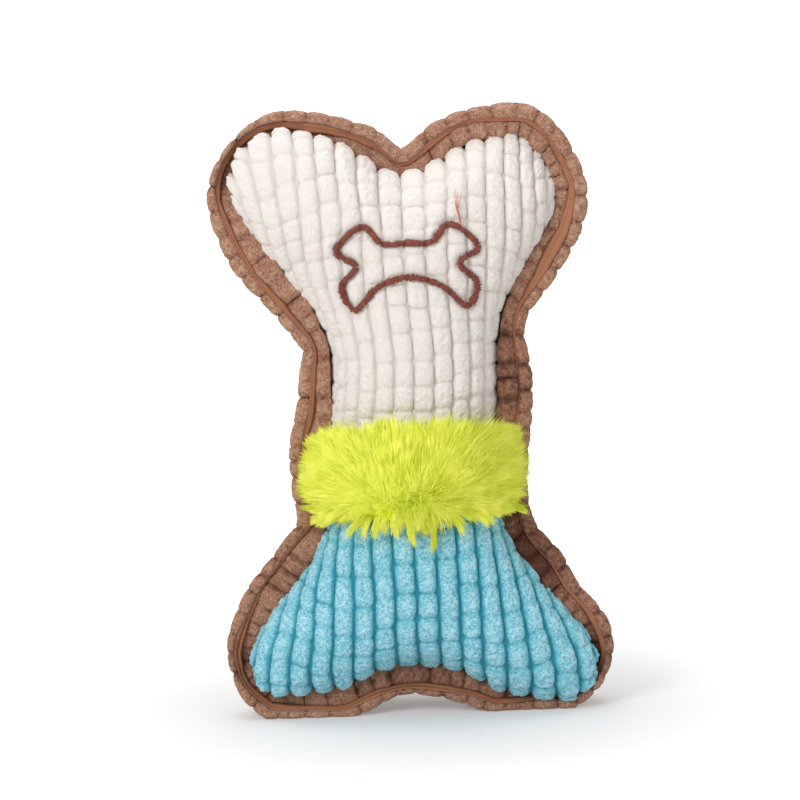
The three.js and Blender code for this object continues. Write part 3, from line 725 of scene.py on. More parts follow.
def ring_faces(rows, columns, closed_rows=False):
    """Quads of a grid that closes on itself along its columns, and along its rows where asked."""
    index = np.arange(rows * columns).reshape(rows, columns)
    ends = np.roll(index, -1, 0) if closed_rows else index[1:]
    starts = index if closed_rows else index[:-1]
    quads = np.stack([starts, np.roll(starts, -1, 1), np.roll(ends, -1, 1), ends], -1)
    return quads.reshape(-1, 4).tolist()


# Materials


def add(tree, kind, **settings):
    """A shader node, with its plain settings and the values of its sockets."""
    node = tree.nodes.new(kind)
    for key, value in settings.items():
        if hasattr(node, key):
            setattr(node, key, value)
        else:
            node.inputs[key.replace("_", " ").title()].default_value = value
    return node


def mix(tree, share, first, second):
    """Colour between two others; each of the three is an output or a plain value."""
    node = add(tree, "ShaderNodeMix", data_type="RGBA")
    for socket, value in ((node.inputs[0], share), (node.inputs[6], first), (node.inputs[7], second)):
        if isinstance(value, bpy.types.NodeSocket):
            tree.links.new(value, socket)
        else:
            socket.default_value = value
    return node.outputs[2]


def times(tree, first, second):
    """Product of two outputs."""
    node = add(tree, "ShaderNodeMath", operation="MULTIPLY")
    tree.links.new(first, node.inputs[0])
    tree.links.new(second, node.inputs[1])
    return node.outputs[0]


def spread(tree, value, low, high, to_low, to_high):
    """An output's low to high values, softly spread over two others."""
    node = add(tree, "ShaderNodeMapRange", interpolation_type="SMOOTHSTEP")
    tree.links.new(value, node.inputs[0])
    for socket, number in zip(node.inputs[1:5], (low, high, to_low, to_high)):
        socket.default_value = number
    return node.outputs[0]


def cloud(tree, size, detail=2.0):
    """Noise over the object, with lumps of about the given size."""
    place = add(tree, "ShaderNodeTexCoord").outputs["Object"]
    node = add(tree, "ShaderNodeTexNoise", scale=1 / size, detail=detail, roughness=0.65)
    tree.links.new(place, node.inputs["Vector"])
    return node.outputs["Fac"]


NUMBER_INPUTS = ("Pile", "Along", "Tuft", "Strand", "Speckle")
RELIEF_OUTPUTS = ("Color", "Height", "Roughness")


def group(name, inputs, outputs):
    """An empty shader node group with named sockets: the tree, its inputs and its outputs."""
    tree = bpy.data.node_groups.new(name, "ShaderNodeTree")
    for label in inputs:
        kind = "NodeSocketFloat" if label in NUMBER_INPUTS else "NodeSocketColor"
        tree.interface.new_socket(label, in_out="INPUT", socket_type=kind)
    for label in outputs:
        kind = "NodeSocketColor" if label == "Color" else "NodeSocketFloat"
        tree.interface.new_socket(label, in_out="OUTPUT", socket_type=kind)
    return tree, tree.nodes.new("NodeGroupInput").outputs, tree.nodes.new("NodeGroupOutput").inputs


def pile_group():
    """Cut pile: darker in the grooves and between the tufts, partly its own tone and partly painted shade,
    flecked by single pale tufts.
    """
    inputs = ("Crown", "Groove", "Fleck", "Pile", "Speckle")
    tree, into, out = group("Cut pile", inputs, RELIEF_OUTPUTS)

    def speckled(share):
        return times(tree, share, into["Speckle"])

    body = mix(tree, spread(tree, into["Pile"], 0.05, 0.5, 0, 1), into["Groove"], into["Crown"])
    gaps = spread(tree, cloud(tree, 0.85 * MM, 3), 0.37, 0.5, 0.8, 0)
    sunk = mix(tree, speckled(gaps), body, into["Groove"])
    high = mix(tree, speckled(spread(tree, into["Pile"], 0.6, 0.95, 0, 0.8)), sunk, into["Fleck"])
    tufts = cloud(tree, 0.68 * MM, 3)
    pale = spread(tree, tufts, 0.5, 0.6, 0, 0.95)
    flecks = times(tree, pale, spread(tree, into["Pile"], 0.3, 0.6, 0, 1))
    flecked = mix(tree, speckled(flecks), high, into["Fleck"])
    tree.links.new(flecked, out["Color"])
    tree.links.new(tufts, out["Height"])
    tree.links.new(spread(tree, tufts, 0.3, 0.7, 0.98, 0.86), out["Roughness"])
    return tree


def fur_group():
    """Long pile: darker at the root, as painted shade deep in the pile, and paler at the tip, as painted
    highlight, with some tufts paler than others.
    """
    tree, into, out = group("Long pile", ("Root", "Tip", "Along", "Tuft"), ("Color", "Roughness"))
    length_fade = mix(tree, spread(tree, into["Along"], 0.0, 0.85, 0, 1), into["Root"], into["Tip"])
    tufted = mix(tree, spread(tree, into["Tuft"], 0.8, 0.15, 0, 0.85), length_fade, into["Root"])
    patch = mix(tree, spread(tree, cloud(tree, 9 * MM), 0.4, 0.65, 0, 0.18), tufted, into["Tip"])
    tree.links.new(patch, out["Color"])
    tree.links.new(spread(tree, into["Along"], 0, 1, 0.8, 0.55), out["Roughness"])
    return tree


def thread_group():
    """Twisted thread: fine hairs along it, each stitch a shade apart; on the tan strip the Strand input
    carries painted shade and highlight.
    """
    tree, into, out = group("Twisted thread", ("Thread", "Shadow", "Strand"), RELIEF_OUTPUTS)
    hairs = cloud(tree, 0.35 * MM, 2)
    stitch = mix(tree, spread(tree, into["Strand"], 0.1, 1, 0.45, 0), into["Thread"], into["Shadow"])
    haired = mix(tree, spread(tree, hairs, 0.35, 0.6, 0.4, 0), stitch, into["Shadow"])
    tree.links.new(haired, out["Color"])
    tree.links.new(hairs, out["Height"])
    tree.links.new(spread(tree, hairs, 0.3, 0.7, 0.6, 0.35), out["Roughness"])
    return tree


def moulded_group():
    """Moulded plastic: cloudy body and a fine spark-eroded grain."""
    tree, into, out = group("Moulded grain", ("Body", "Cloud"), RELIEF_OUTPUTS)
    grain = cloud(tree, 0.3 * MM, 2)
    cloudy = spread(tree, cloud(tree, 7 * MM), 0.35, 0.7, 0, 0.5)
    tree.links.new(mix(tree, cloudy, into["Body"], into["Cloud"]), out["Color"])
    tree.links.new(grain, out["Height"])
    tree.links.new(spread(tree, grain, 0.3, 0.7, 0.5, 0.34), out["Roughness"])
    return tree


GROUPS = {
    "Cut pile": pile_group,
    "Long pile": fur_group,
    "Twisted thread": thread_group,
    "Moulded grain": moulded_group,
}


def finish_of(name, effect, colours, attributes=(), bump=0.0, bump_size=0.3 * MM, painted_glow=False, **sockets):
    """A material: one of the shared effects with this finish's own colours, on its own shader."""
    name = "look_" + name
    if name in bpy.data.materials:
        return bpy.data.materials[name]
    material = bpy.data.materials.new(name)
    material.use_nodes = True
    tree = material.node_tree
    shader = tree.nodes["Principled BSDF"]
    node = tree.nodes.new("ShaderNodeGroup")
    node.node_tree = bpy.data.node_groups.get(effect) or GROUPS[effect]()
    for label, value in colours.items():
        node.inputs[label].default_value = value if isinstance(value, float) else (*value, 1)
    for label, key in attributes:
        source = add(tree, "ShaderNodeAttribute", attribute_name=key)
        tree.links.new(source.outputs["Fac"], node.inputs[label])
    tree.links.new(node.outputs["Color"], shader.inputs["Base Color"])
    tree.links.new(node.outputs["Roughness"], shader.inputs["Roughness"])
    # painted glow: the finish gives off light in its own colour
    if painted_glow:
        tree.links.new(node.outputs["Color"], shader.inputs["Emission Color"])
    if bump:
        relief = add(tree, "ShaderNodeBump", strength=bump, distance=bump_size)
        tree.links.new(node.outputs["Height"], relief.inputs["Height"])
        tree.links.new(relief.outputs["Normal"], shader.inputs["Normal"])
    for label, value in sockets.items():
        shader.inputs[label.replace("_", " ").title().replace("Ior", "IOR")].default_value = value
    return material


def lighter(value, share):
    return tuple(channel + (1 - channel) * share for channel in value)


def darker(value, share):
    return tuple(channel * share for channel in value)


def corduroy_finish(colours, name, speckle):
    crown, groove, fleck = [getattr(colours, name + part) for part in ("", "_groove", "_fleck")]
    return finish_of(
        name + CORDUROY,
        "Cut pile",
        {"Crown": crown, "Groove": groove, "Fleck": fleck, "Speckle": speckle},
        (("Pile", "pile"),),
        bump=1.0,
        bump_size=0.5 * MM,
        specular_ior_level=0.1,
        sheen_weight=0.25,
        sheen_roughness=0.4,
    )


def thread_finish(name, thread, shadow=0.5, bump=0.3, bump_size=0.1 * MM, gloss=0.5):
    return finish_of(
        name,
        "Twisted thread",
        {"Thread": thread, "Shadow": darker(thread, shadow)},
        (("Strand", "strand"),),
        bump=bump,
        bump_size=bump_size,
        specular_ior_level=gloss,
    )


def moulded_finish(name, body, **sockets):
    return finish_of(
        name,
        "Moulded grain",
        {"Body": body, "Cloud": lighter(body, 0.5)},
        bump=0.1,
        bump_size=0.1 * MM,
        specular_ior_level=0.5,
        **sockets,
    )


def on_front(made, node):
    """A front piece: its place baked into its mesh, standing in for the solid that it dresses, which is
    hidden.
    """
    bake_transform(made)
    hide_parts(node)


def on_back(made, node):
    """A piece that stays with the body when the front is pressed."""
    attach(made, "stuffed_back")
    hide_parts(node)


def inside(made, node):
    """A soft piece of the inside, attached to the back with a mesh of its own."""
    on_back(made, node)
    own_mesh(made)


# The embroidered bone
STITCHES = 440
STITCH_SEED = 23
PRESS_STEPS = 420  # points of the line for the pile drawn in along it
SATIN_HALF = 1.0 * MM  # half the mean width of the line
SATIN_SLANT = math.radians(24)
SATIN_ARCH = 1.2 * MM
SATIN_SUNK = 0.5 * MM
SATIN_RADIUS = 0.26 * MM
GROOVE_DIP = 1.1 * MM  # how far stitches sink into a groove between two cords
PRESS_REACH = 2.1 * MM  # how far from the line the pile is drawn in
PRESS_MARGIN = 8 * MM  # beyond which it surely isn't


def motif_line(count):
    """The small bone's outline in the front plane: a smooth closed curve through its corners, even spaced."""
    half = [
        (0, 0.6), (0.34, 0.6), (0.6, 1), (0.9, 0.7), (1, 0.4), (0.73, 0.07),
        (0.96, -0.44), (0.81, -1), (0.45, -0.45), (0, -0.22),
    ]
    corners = np.array(half + [(-x, z) for x, z in half[-2:0:-1]]) * MOTIF_HALF + MOTIF_CENTRE
    knots = np.concatenate([corners, corners[:3]])
    points = []
    for k in range(len(corners)):
        a, b, c, d = knots[k : k + 4]
        t = [0]
        for start, end in ((a, b), (b, c), (c, d)):
            t.append(t[-1] + math.sqrt(np.linalg.norm(end - start)))
        at = np.linspace(t[1], t[2], 40, endpoint=False)[:, None]

        def blend_of(p, q, low, high):
            return (high - at) / (high - low) * p + (at - low) / (high - low) * q

        ab, bc, cd = blend_of(a, b, t[0], t[1]), blend_of(b, c, t[1], t[2]), blend_of(c, d, t[2], t[3])
        abc, bcd = blend_of(ab, bc, t[0], t[2]), blend_of(bc, cd, t[1], t[3])
        points.append(blend_of(abc, bcd, t[1], t[2]))
    points.append(corners[1:2])
    return even(np.concatenate(points), count + 1)[:-1]


def press_of_motif(points):
    """How far the stitching draws the pile in, 0 to 1."""
    line = motif_line(PRESS_STEPS)
    press = np.zeros(len(points))
    near = np.flatnonzero(
        (np.abs(points[:, 0] - MOTIF_CENTRE[0]) < MOTIF_HALF[0] + PRESS_MARGIN)
        & (np.abs(points[:, 2] - MOTIF_CENTRE[1]) < MOTIF_HALF[1] + PRESS_MARGIN)
    )
    for part in np.array_split(near, max(1, len(near) // 4000)):
        away = np.linalg.norm(points[part][:, None, (0, 2)] - line[None], axis=2).min(1)
        press[part] = soft_bump(away, PRESS_REACH)
    return press


CREAM_SEED = 11
TURQUOISE_SEED = 41


def cream_cloth(settings):
    return Cloth(settings, "cream", 0.96, (0.22, 0.85), settings.grain, 18, fuzz=0.85)


class BONETOY_OT_front_panels(bpy.types.Operator):
    """Lay the cream and turquoise corduroy over the front"""

    bl_idname = "bonetoy.front_panels"
    bl_label = "Front panels"

    def execute(self, context):
        settings, colours = context.scene.bonetoy_cloth, context.scene.bonetoy_colours
        turquoise_cloth = Cloth(settings, "turquoise", 0.92, (0.15, 0.75), settings.grain, 18)
        for name, sign, seam, cloth, seed, speckle in (
            ("cream", 1, BAND_TOP, cream_cloth(settings), CREAM_SEED, 0.45),
            ("turquoise", -1, BAND_BOTTOM, turquoise_cloth, TURQUOISE_SEED, 0.9),
        ):
            skin = Skin(FRONT, sign, seam + sign * SEAM_HALF_SLOT, cloth)
            points, pile = raised(skin, FRONT, cloth, seed, press_of_motif(skin.points))
            look = corduroy_finish(colours, name, speckle)
            made = piece(name + "_corduroy_front", settle(points), skin.faces, look, pile=pile)
            on_front(made, name + "_front_panel")
        return {"FINISHED"}


# Brown back and the rim
WELD = 0.02 * MM
FOLD_STEPS = 1380  # mesh points round the outer fold
LAYER_STEPS = 1200  # and round the tan strip and the inner ply


def weld(made):
    """Joins points that lie on each other."""
    mesh = bmesh.new()
    mesh.from_mesh(made.data)
    bmesh.ops.remove_doubles(mesh, verts=mesh.verts, dist=WELD)
    mesh.to_mesh(made.data)
    mesh.free()
    made.data.shade_smooth()


def loaves(outline, period, shallow, seed):
    """Height of the pile along the rim, 0 to 1: one loaf of corduroy after another, parted by nicks."""
    total = outline.reach[-1] + outline.reach[1]
    ends = np.sin(math.pi * outline.reach / total)
    count = round(total / period)
    place = outline.reach / total * count + ends * 0.75 * noise(seed, 1.7 * period, outline.reach)
    deep = shallow + (1 - shallow) * scatter(seed + 1, np.rint(place) % count)
    crown = bow(off_middle(place), LOAF_ROUND)
    level = 1 - 0.1 * scatter(seed + 2, np.floor(place) % count)
    return level * (1 - deep * (1 - crown))


def rim_layer(outline, rows, pile, seed, height, painted_shade):
    """Points of a rim layer from rows of depth, stand, pile direction (in, forward) and pile share, with the
    pile's value for its finish, which carries painted shade.
    """
    points, piles = [], []
    # painted shade: the pile is darker at the places in PAINTED_SHADE_PLACES, on the parts that face away
    # from the light
    lit = 1 - painted_shade * at_places(outline, PAINTED_SHADE_PLACES) / MM
    cos, sin = np.cos(outline.lean), np.sin(outline.lean)
    for number, (depth, stand, into, forward, share) in enumerate(rows):
        place = outline.rim(depth, stand)
        aside = np.full(len(place), number * 0.55 * MM)
        tufts = fuzz(place, seed + 9, outline.reach + 0.6 * aside, aside)
        lift = share * pile_lift(pile, tufts, height, RIM_FUZZ)
        out = lift * (-into * cos + forward * sin)
        place[:, 0] += outline.outward[:, 0] * out
        place[:, 2] += outline.outward[:, 1] * out
        place[:, 1] -= lift * (into * sin + forward * cos)
        place[:, 2] = np.maximum(place[:, 2], FLOOR_CLEAR)
        points.append(place)
        # painted shade: rows where little pile stands, next to the tan strip and on inner walls, are darkened
        # to read as a crevice
        painted_crevice = 0.45 + 0.55 * smooth(0, 0.35, share)
        # painted shade: the nicks between loaves are darkened nearly to the groove colour, more than their
        # depth alone would shade them
        piles.append(tufted(lit * painted_crevice * (1 - np.maximum(share, 0.85) * (1 - pile)), tufts))
    return np.concatenate(points), np.concatenate(piles)


def at_places(outline, places):
    """Along the outline, the sum of soft bumps: place in the front plane, reach and height of each."""
    total = np.zeros(len(outline.points))
    for place, reach, height in places:
        away = np.linalg.norm(outline.points - np.array(place) * MM, axis=1)
        total += height * MM * soft_bump(away, reach * MM)
    return total


# Along the rim, in the front plane: where the outer fold is wider, where the tan strip is wider and where it
# splits into two ridges, where the inner ply swells inward, and where the cloth lying over it holds it down
FOLD_WIDE = (
    ((-62, 208), 17, -1.3), ((-69, 20), 16, -0.9), ((-40, 2), 16, -0.5), ((48, 215), 22, 0.4),
    ((-41, 112), 24, 0.4), ((41, 112), 24, 0.6), ((50, 62), 14, 0.7), ((66, 18), 18, -0.7),
    ((0, 6), 20, -0.7),
)
TAN_WIDE = (
    ((-30, 213), 16, 2.4), ((-54, 213), 14, 1.0), ((-68, 192), 14, 0.4), ((60, 166), 18, 3.4),
    ((68, 196), 14, 0.9), ((41, 112), 26, -1.1), ((50, 62), 16, -1.2), ((-50, 62), 18, -1.0),
    ((-69, 24), 18, 1.6), ((67, 30), 14, 0.9), ((-30, 3), 18, 0.6), ((10, 6), 16, 0.4),
)
TAN_SPLIT = (((-69, 22), 22, 1.6), ((0, 6), 26, 0.8))
PLY_IN = (
    ((-50, 60), 20, 1.6), ((50, 62), 20, 1.6), ((0, 6), 24, 1.2), ((-52, 160), 22, 1.6),
    ((56, 160), 18, 0.6), ((69, 190), 14, 0.8), ((40, 118), 26, 0.8), ((-41, 100), 20, 1.4),
)
HELD_DOWN = (
    ((-44, 219), 22, 3.6), ((-66, 196), 18, 3.2), ((-12, 206), 16, 2.2), ((64, 8), 22, 4.5),
    ((-68, 20), 20, 3.4), ((-48, 3), 18, 2.6), ((30, 5), 14, 1.6),
)
# Where the rim's pile is drawn darker as painted shade, on the parts that face away from the light: place,
# reach and share
PAINTED_SHADE_PLACES = (
    ((50, 62), 24, 0.78), ((-52, 58), 18, 0.4), ((-68, 18), 18, 0.45), ((0, 6), 30, 0.5),
    ((66, 18), 18, 0.65), ((41, 124), 22, 0.55),
)
TUCK = 0.3 * MM  # by which a layer starts under the one outside it
PLY_END = 11.4 * MM  # how far in from the outline the inner ply reaches
FOLD_SHOULDER = 7.2 * MM  # where the outer fold starts to turn inward, forward of the seam
FOLD_TURN = 1.8 * MM  # how far the turn stands forward of that
FOLD_HALF = 2.0 * MM  # half its mean thickness
FOLD_PILE = 2.7 * MM  # how high its loaves stand
TAN_WIDTH = 1.6 * MM
TAN_LEAST = 0.5 * MM  # to which the tan strip narrows at most
TAN_TOP = 7.8 * MM  # forward of the seam
PLY_TOP = 5.6 * MM  # where the inner ply starts to turn inward, forward of the seam
PLY_TURN = 1.6 * MM  # how far its turn stands forward of that
PLY_PILE = 2.6 * MM
LOAF_ROUND = 3.2  # fullness of a loaf along the rim


def fold_half(outline):
    """Half the thickness of the outer fold along the rim."""
    return FOLD_HALF + at_places(outline, FOLD_WIDE) + outline.wave(98, 14, 0.25)


BROWN_SEED = 71
PLY_SEED = 121
RIM_FUZZ = 0.42 * MM


def brown_cloth(settings):
    return Cloth(settings, "brown", 0.97, (0.3, 0.95), settings.back_grain, 12)


def brown_finish(colours):
    return corduroy_finish(colours, "brown", 0.62)


class BONETOY_OT_back_panel(bpy.types.Operator):
    """Lay the brown corduroy over the back and fold its edge forward round the rim"""

    bl_idname = "bonetoy.back_panel"
    bl_label = "Back panel"

    def execute(self, context):
        settings, colours = context.scene.bonetoy_cloth, context.scene.bonetoy_colours
        look = brown_finish(colours)
        cloth = brown_cloth(settings)
        skins = [Skin(BACK, sign, WAIST_MIDDLE, cloth) for sign in (1, -1)]
        points, piles, faces = [], [], []
        for skin in skins:
            raised_points, pile = raised(skin, BACK, cloth, BROWN_SEED)
            offset = sum(len(p) for p in points)
            faces += [[corner + offset for corner in face] for face in skin.faces]
            raised_points[:, 2] = np.maximum(raised_points[:, 2], FLOOR_CLEAR)
            points.append(sway(raised_points))
            piles.append(pile)
        made = piece("brown_corduroy_back", np.concatenate(points), faces, look, pile=np.concatenate(piles))
        weld(made)
        on_back(made, "brown_back_panel")
        self.fold(cloth, look)
        return {"FINISHED"}

    @staticmethod
    def fold(cloth, look):
        outline = Outline(FOLD_STEPS)
        wander = outline.wave(81, 19, 0.5) * smooth(2 * MM, 9 * MM, outline.points[:, 1])
        half, zero = fold_half(outline), outline.zero
        rows = []
        for tuck in np.linspace(1, 0, 4)[:-1]:
            rows.append((zero + (0.3 + 2.6 * tuck) * MM, zero - 3 * MM * tuck, -1, 0, 0.4 * (1 - tuck)))
        for stand in np.linspace(0, FOLD_SHOULDER, 18):
            pinch = 0.7 * MM * (1 - math.sin(math.pi / 2 * min(1, stand / (3.5 * MM)))) - 0.4 * MM
            share = 0.3 + 0.25 * smooth(0, 3 * MM, stand)
            rows.append((zero + pinch, stand + wander * stand / FOLD_SHOULDER, -1, 0, share))
        for turn in np.linspace(0, math.pi, 13)[1:]:
            depth = half * (1 - math.cos(turn)) - 0.2 * MM * (1 + math.cos(turn))
            stand = FOLD_SHOULDER + FOLD_TURN * math.sin(turn) + wander
            share = 0.55 + 0.45 * math.sin(turn) ** 2 - 0.45 * smooth(0.6 * math.pi, math.pi, turn)
            rows.append((zero + depth, stand, -math.cos(turn), math.sin(turn), share))
        for stand in np.linspace(FOLD_SHOULDER, 1 * MM, 6)[1:]:
            rows.append((zero + 2 * half, zero + stand, 1, 0, 0.1))
        pile = loaves(outline, cloth.kernel, 0.55, BROWN_SEED)
        # 0.8: how strongly the painted shade darkens the outer fold
        points, pile = rim_layer(outline, rows, pile, BROWN_SEED, FOLD_PILE, 0.8)
        faces = ring_faces(len(rows), len(outline.points))
        made = piece("brown_rim_fold", sway(points), faces, look, pile=pile)
        on_back(made, "brown_back_panel")


class BONETOY_OT_rim_layers(bpy.types.Operator):
    """Set the tan backing strip and the inner brown ply into the rim"""

    bl_idname = "bonetoy.rim_layers"
    bl_label = "Rim layers"

    def execute(self, context):
        cloth, colours = brown_cloth(context.scene.bonetoy_cloth), context.scene.bonetoy_colours
        outline = Outline(LAYER_STEPS)
        width = TAN_WIDTH + 0.85 * at_places(outline, TAN_WIDE) + outline.wave(91, 11, 0.4)
        width = np.maximum(width + outline.wave(94, 4, 0.25), TAN_LEAST)
        held = at_places(outline, HELD_DOWN)
        self.strip(outline, width, held, colours)
        self.ply(outline, width, held, cloth, colours)
        return {"FINISHED"}

    @staticmethod
    def strip(outline, width, held, colours):
        look = thread_finish("tan_backing", colours.tan, 0.7, 0.35, 0.15 * MM, 0.2)
        top = TAN_TOP + outline.wave(92, 19, 0.8) + outline.wave(93, 4, 0.4)
        top = top - 0.45 * held + 0.4 * np.clip(width - 1.4 * MM, -1 * MM, 3 * MM)
        split = at_places(outline, TAN_SPLIT) + 0.2 * MM * (1 + noise(97, 23 * MM, outline.reach))
        start = 2 * fold_half(outline) - TUCK
        zero = outline.zero
        rows, shades = [], []

        def row(depth, stand, shade):
            rows.append(outline.rim(depth + zero, stand + zero))
            shades.append(zero + shade)

        # painted shade: the strip's walls are drawn darker than its top
        for stand in (2, 4.5):
            row(start, stand * MM, 0.4)
        for share in np.linspace(0, 1, 15):
            rise = (1 - abs(2 * share - 1) ** 5) ** 0.5
            cleft = math.exp(-(((share - 0.55) / 0.12) ** 2))
            stand = top - 1.1 * MM + 1.1 * MM * rise - 0.9 * MM * share - split * cleft
            # painted highlight on the top of each ridge and painted shade in the cleft between two ridges;
            # wear is random tone along the strip
            wear = 0.22 * noise(99, 1.0, outline.reach / (4 * MM), zero + 2 * share)
            row(start + width * share, stand, 0.4 + 0.5 * rise * (1 - 0.5 * cleft) + wear)
        for stand in (4.5, 2):
            row(start + width, stand * MM, 0.3)
        points = sway(np.concatenate(rows))
        points[:, 2] = np.maximum(points[:, 2], TAN_CLEAR)
        faces = ring_faces(len(rows), len(outline.points), closed_rows=True)
        made = piece("tan_rim_strip", points, faces, look, strand=np.concatenate(shades))
        on_back(made, "rim_backing_strip")

    @staticmethod
    def ply(outline, width, held, cloth, colours):
        look = brown_finish(colours)
        start = 2 * fold_half(outline) - 2 * TUCK + width
        end = PLY_END + at_places(outline, PLY_IN) + outline.wave(95, 9, 0.7)
        half = np.clip((end - start) / 2, 0.5 * MM, 1.5 * MM)
        inward = np.maximum(end - start - 2 * half, 0)
        top = PLY_TOP + outline.wave(96, 12, 1.1) - held
        rows = [(start, 0 * top + 1 * MM, -1, 0, 0.0), (start, top * 0.6, -1, 0, 0.0)]
        for turn in np.linspace(0, math.pi, 13):
            depth = start + half * (1 - math.cos(turn)) + inward * (0.5 - 0.5 * math.cos(turn))
            share = smooth(0.05 * math.pi, 0.35 * math.pi, turn)
            share = share * (1 - 0.5 * smooth(0.7 * math.pi, math.pi, turn))
            rows.append((depth, top + PLY_TURN * math.sin(turn), -math.cos(turn), math.sin(turn), share))
        for step in np.linspace(0, 1, 10)[1:]:
            depth = start + 2 * half + inward * (1 - step)
            rows.append((depth, top * (1 - step) + 0.4 * MM * step, 1, 0, 0.5))
        pile = loaves(outline, 0.9 * cloth.kernel, 0.6, PLY_SEED)
        # 1.0: how strongly the painted shade darkens the inner ply
        points, pile = rim_layer(outline, rows, pile, PLY_SEED, PLY_PILE, 1.0)
        faces = ring_faces(len(rows), len(outline.points), closed_rows=True)
        made = piece("brown_rim_ply", sway(points), faces, look, pile=pile)
        on_back(made, "rim_front_ply")


# Fur band
PARTING = 79 * MM  # height from which the pile lies up and down
LOCKS_UNDER = 78 * MM  # below which some tufts hang in locks
UPPER_FUR = (86 * MM, 99 * MM)  # heights over which the pile comes to its upper edge
FUR_ENDS = (24 * MM, 30 * MM)  # from the middle, where strands come to lie over the rim
FUR_SKIN = 2.6 * MM  # how far the skin stands off the body, and how far its lumps go
FUR_LUMP = 1.0 * MM
FUR_SIDES = 3  # of a strand
FUR_SEED = 17
OVER_RIM = 10.4 * MM  # how far in front of the seam strands keep where they lie over the rim


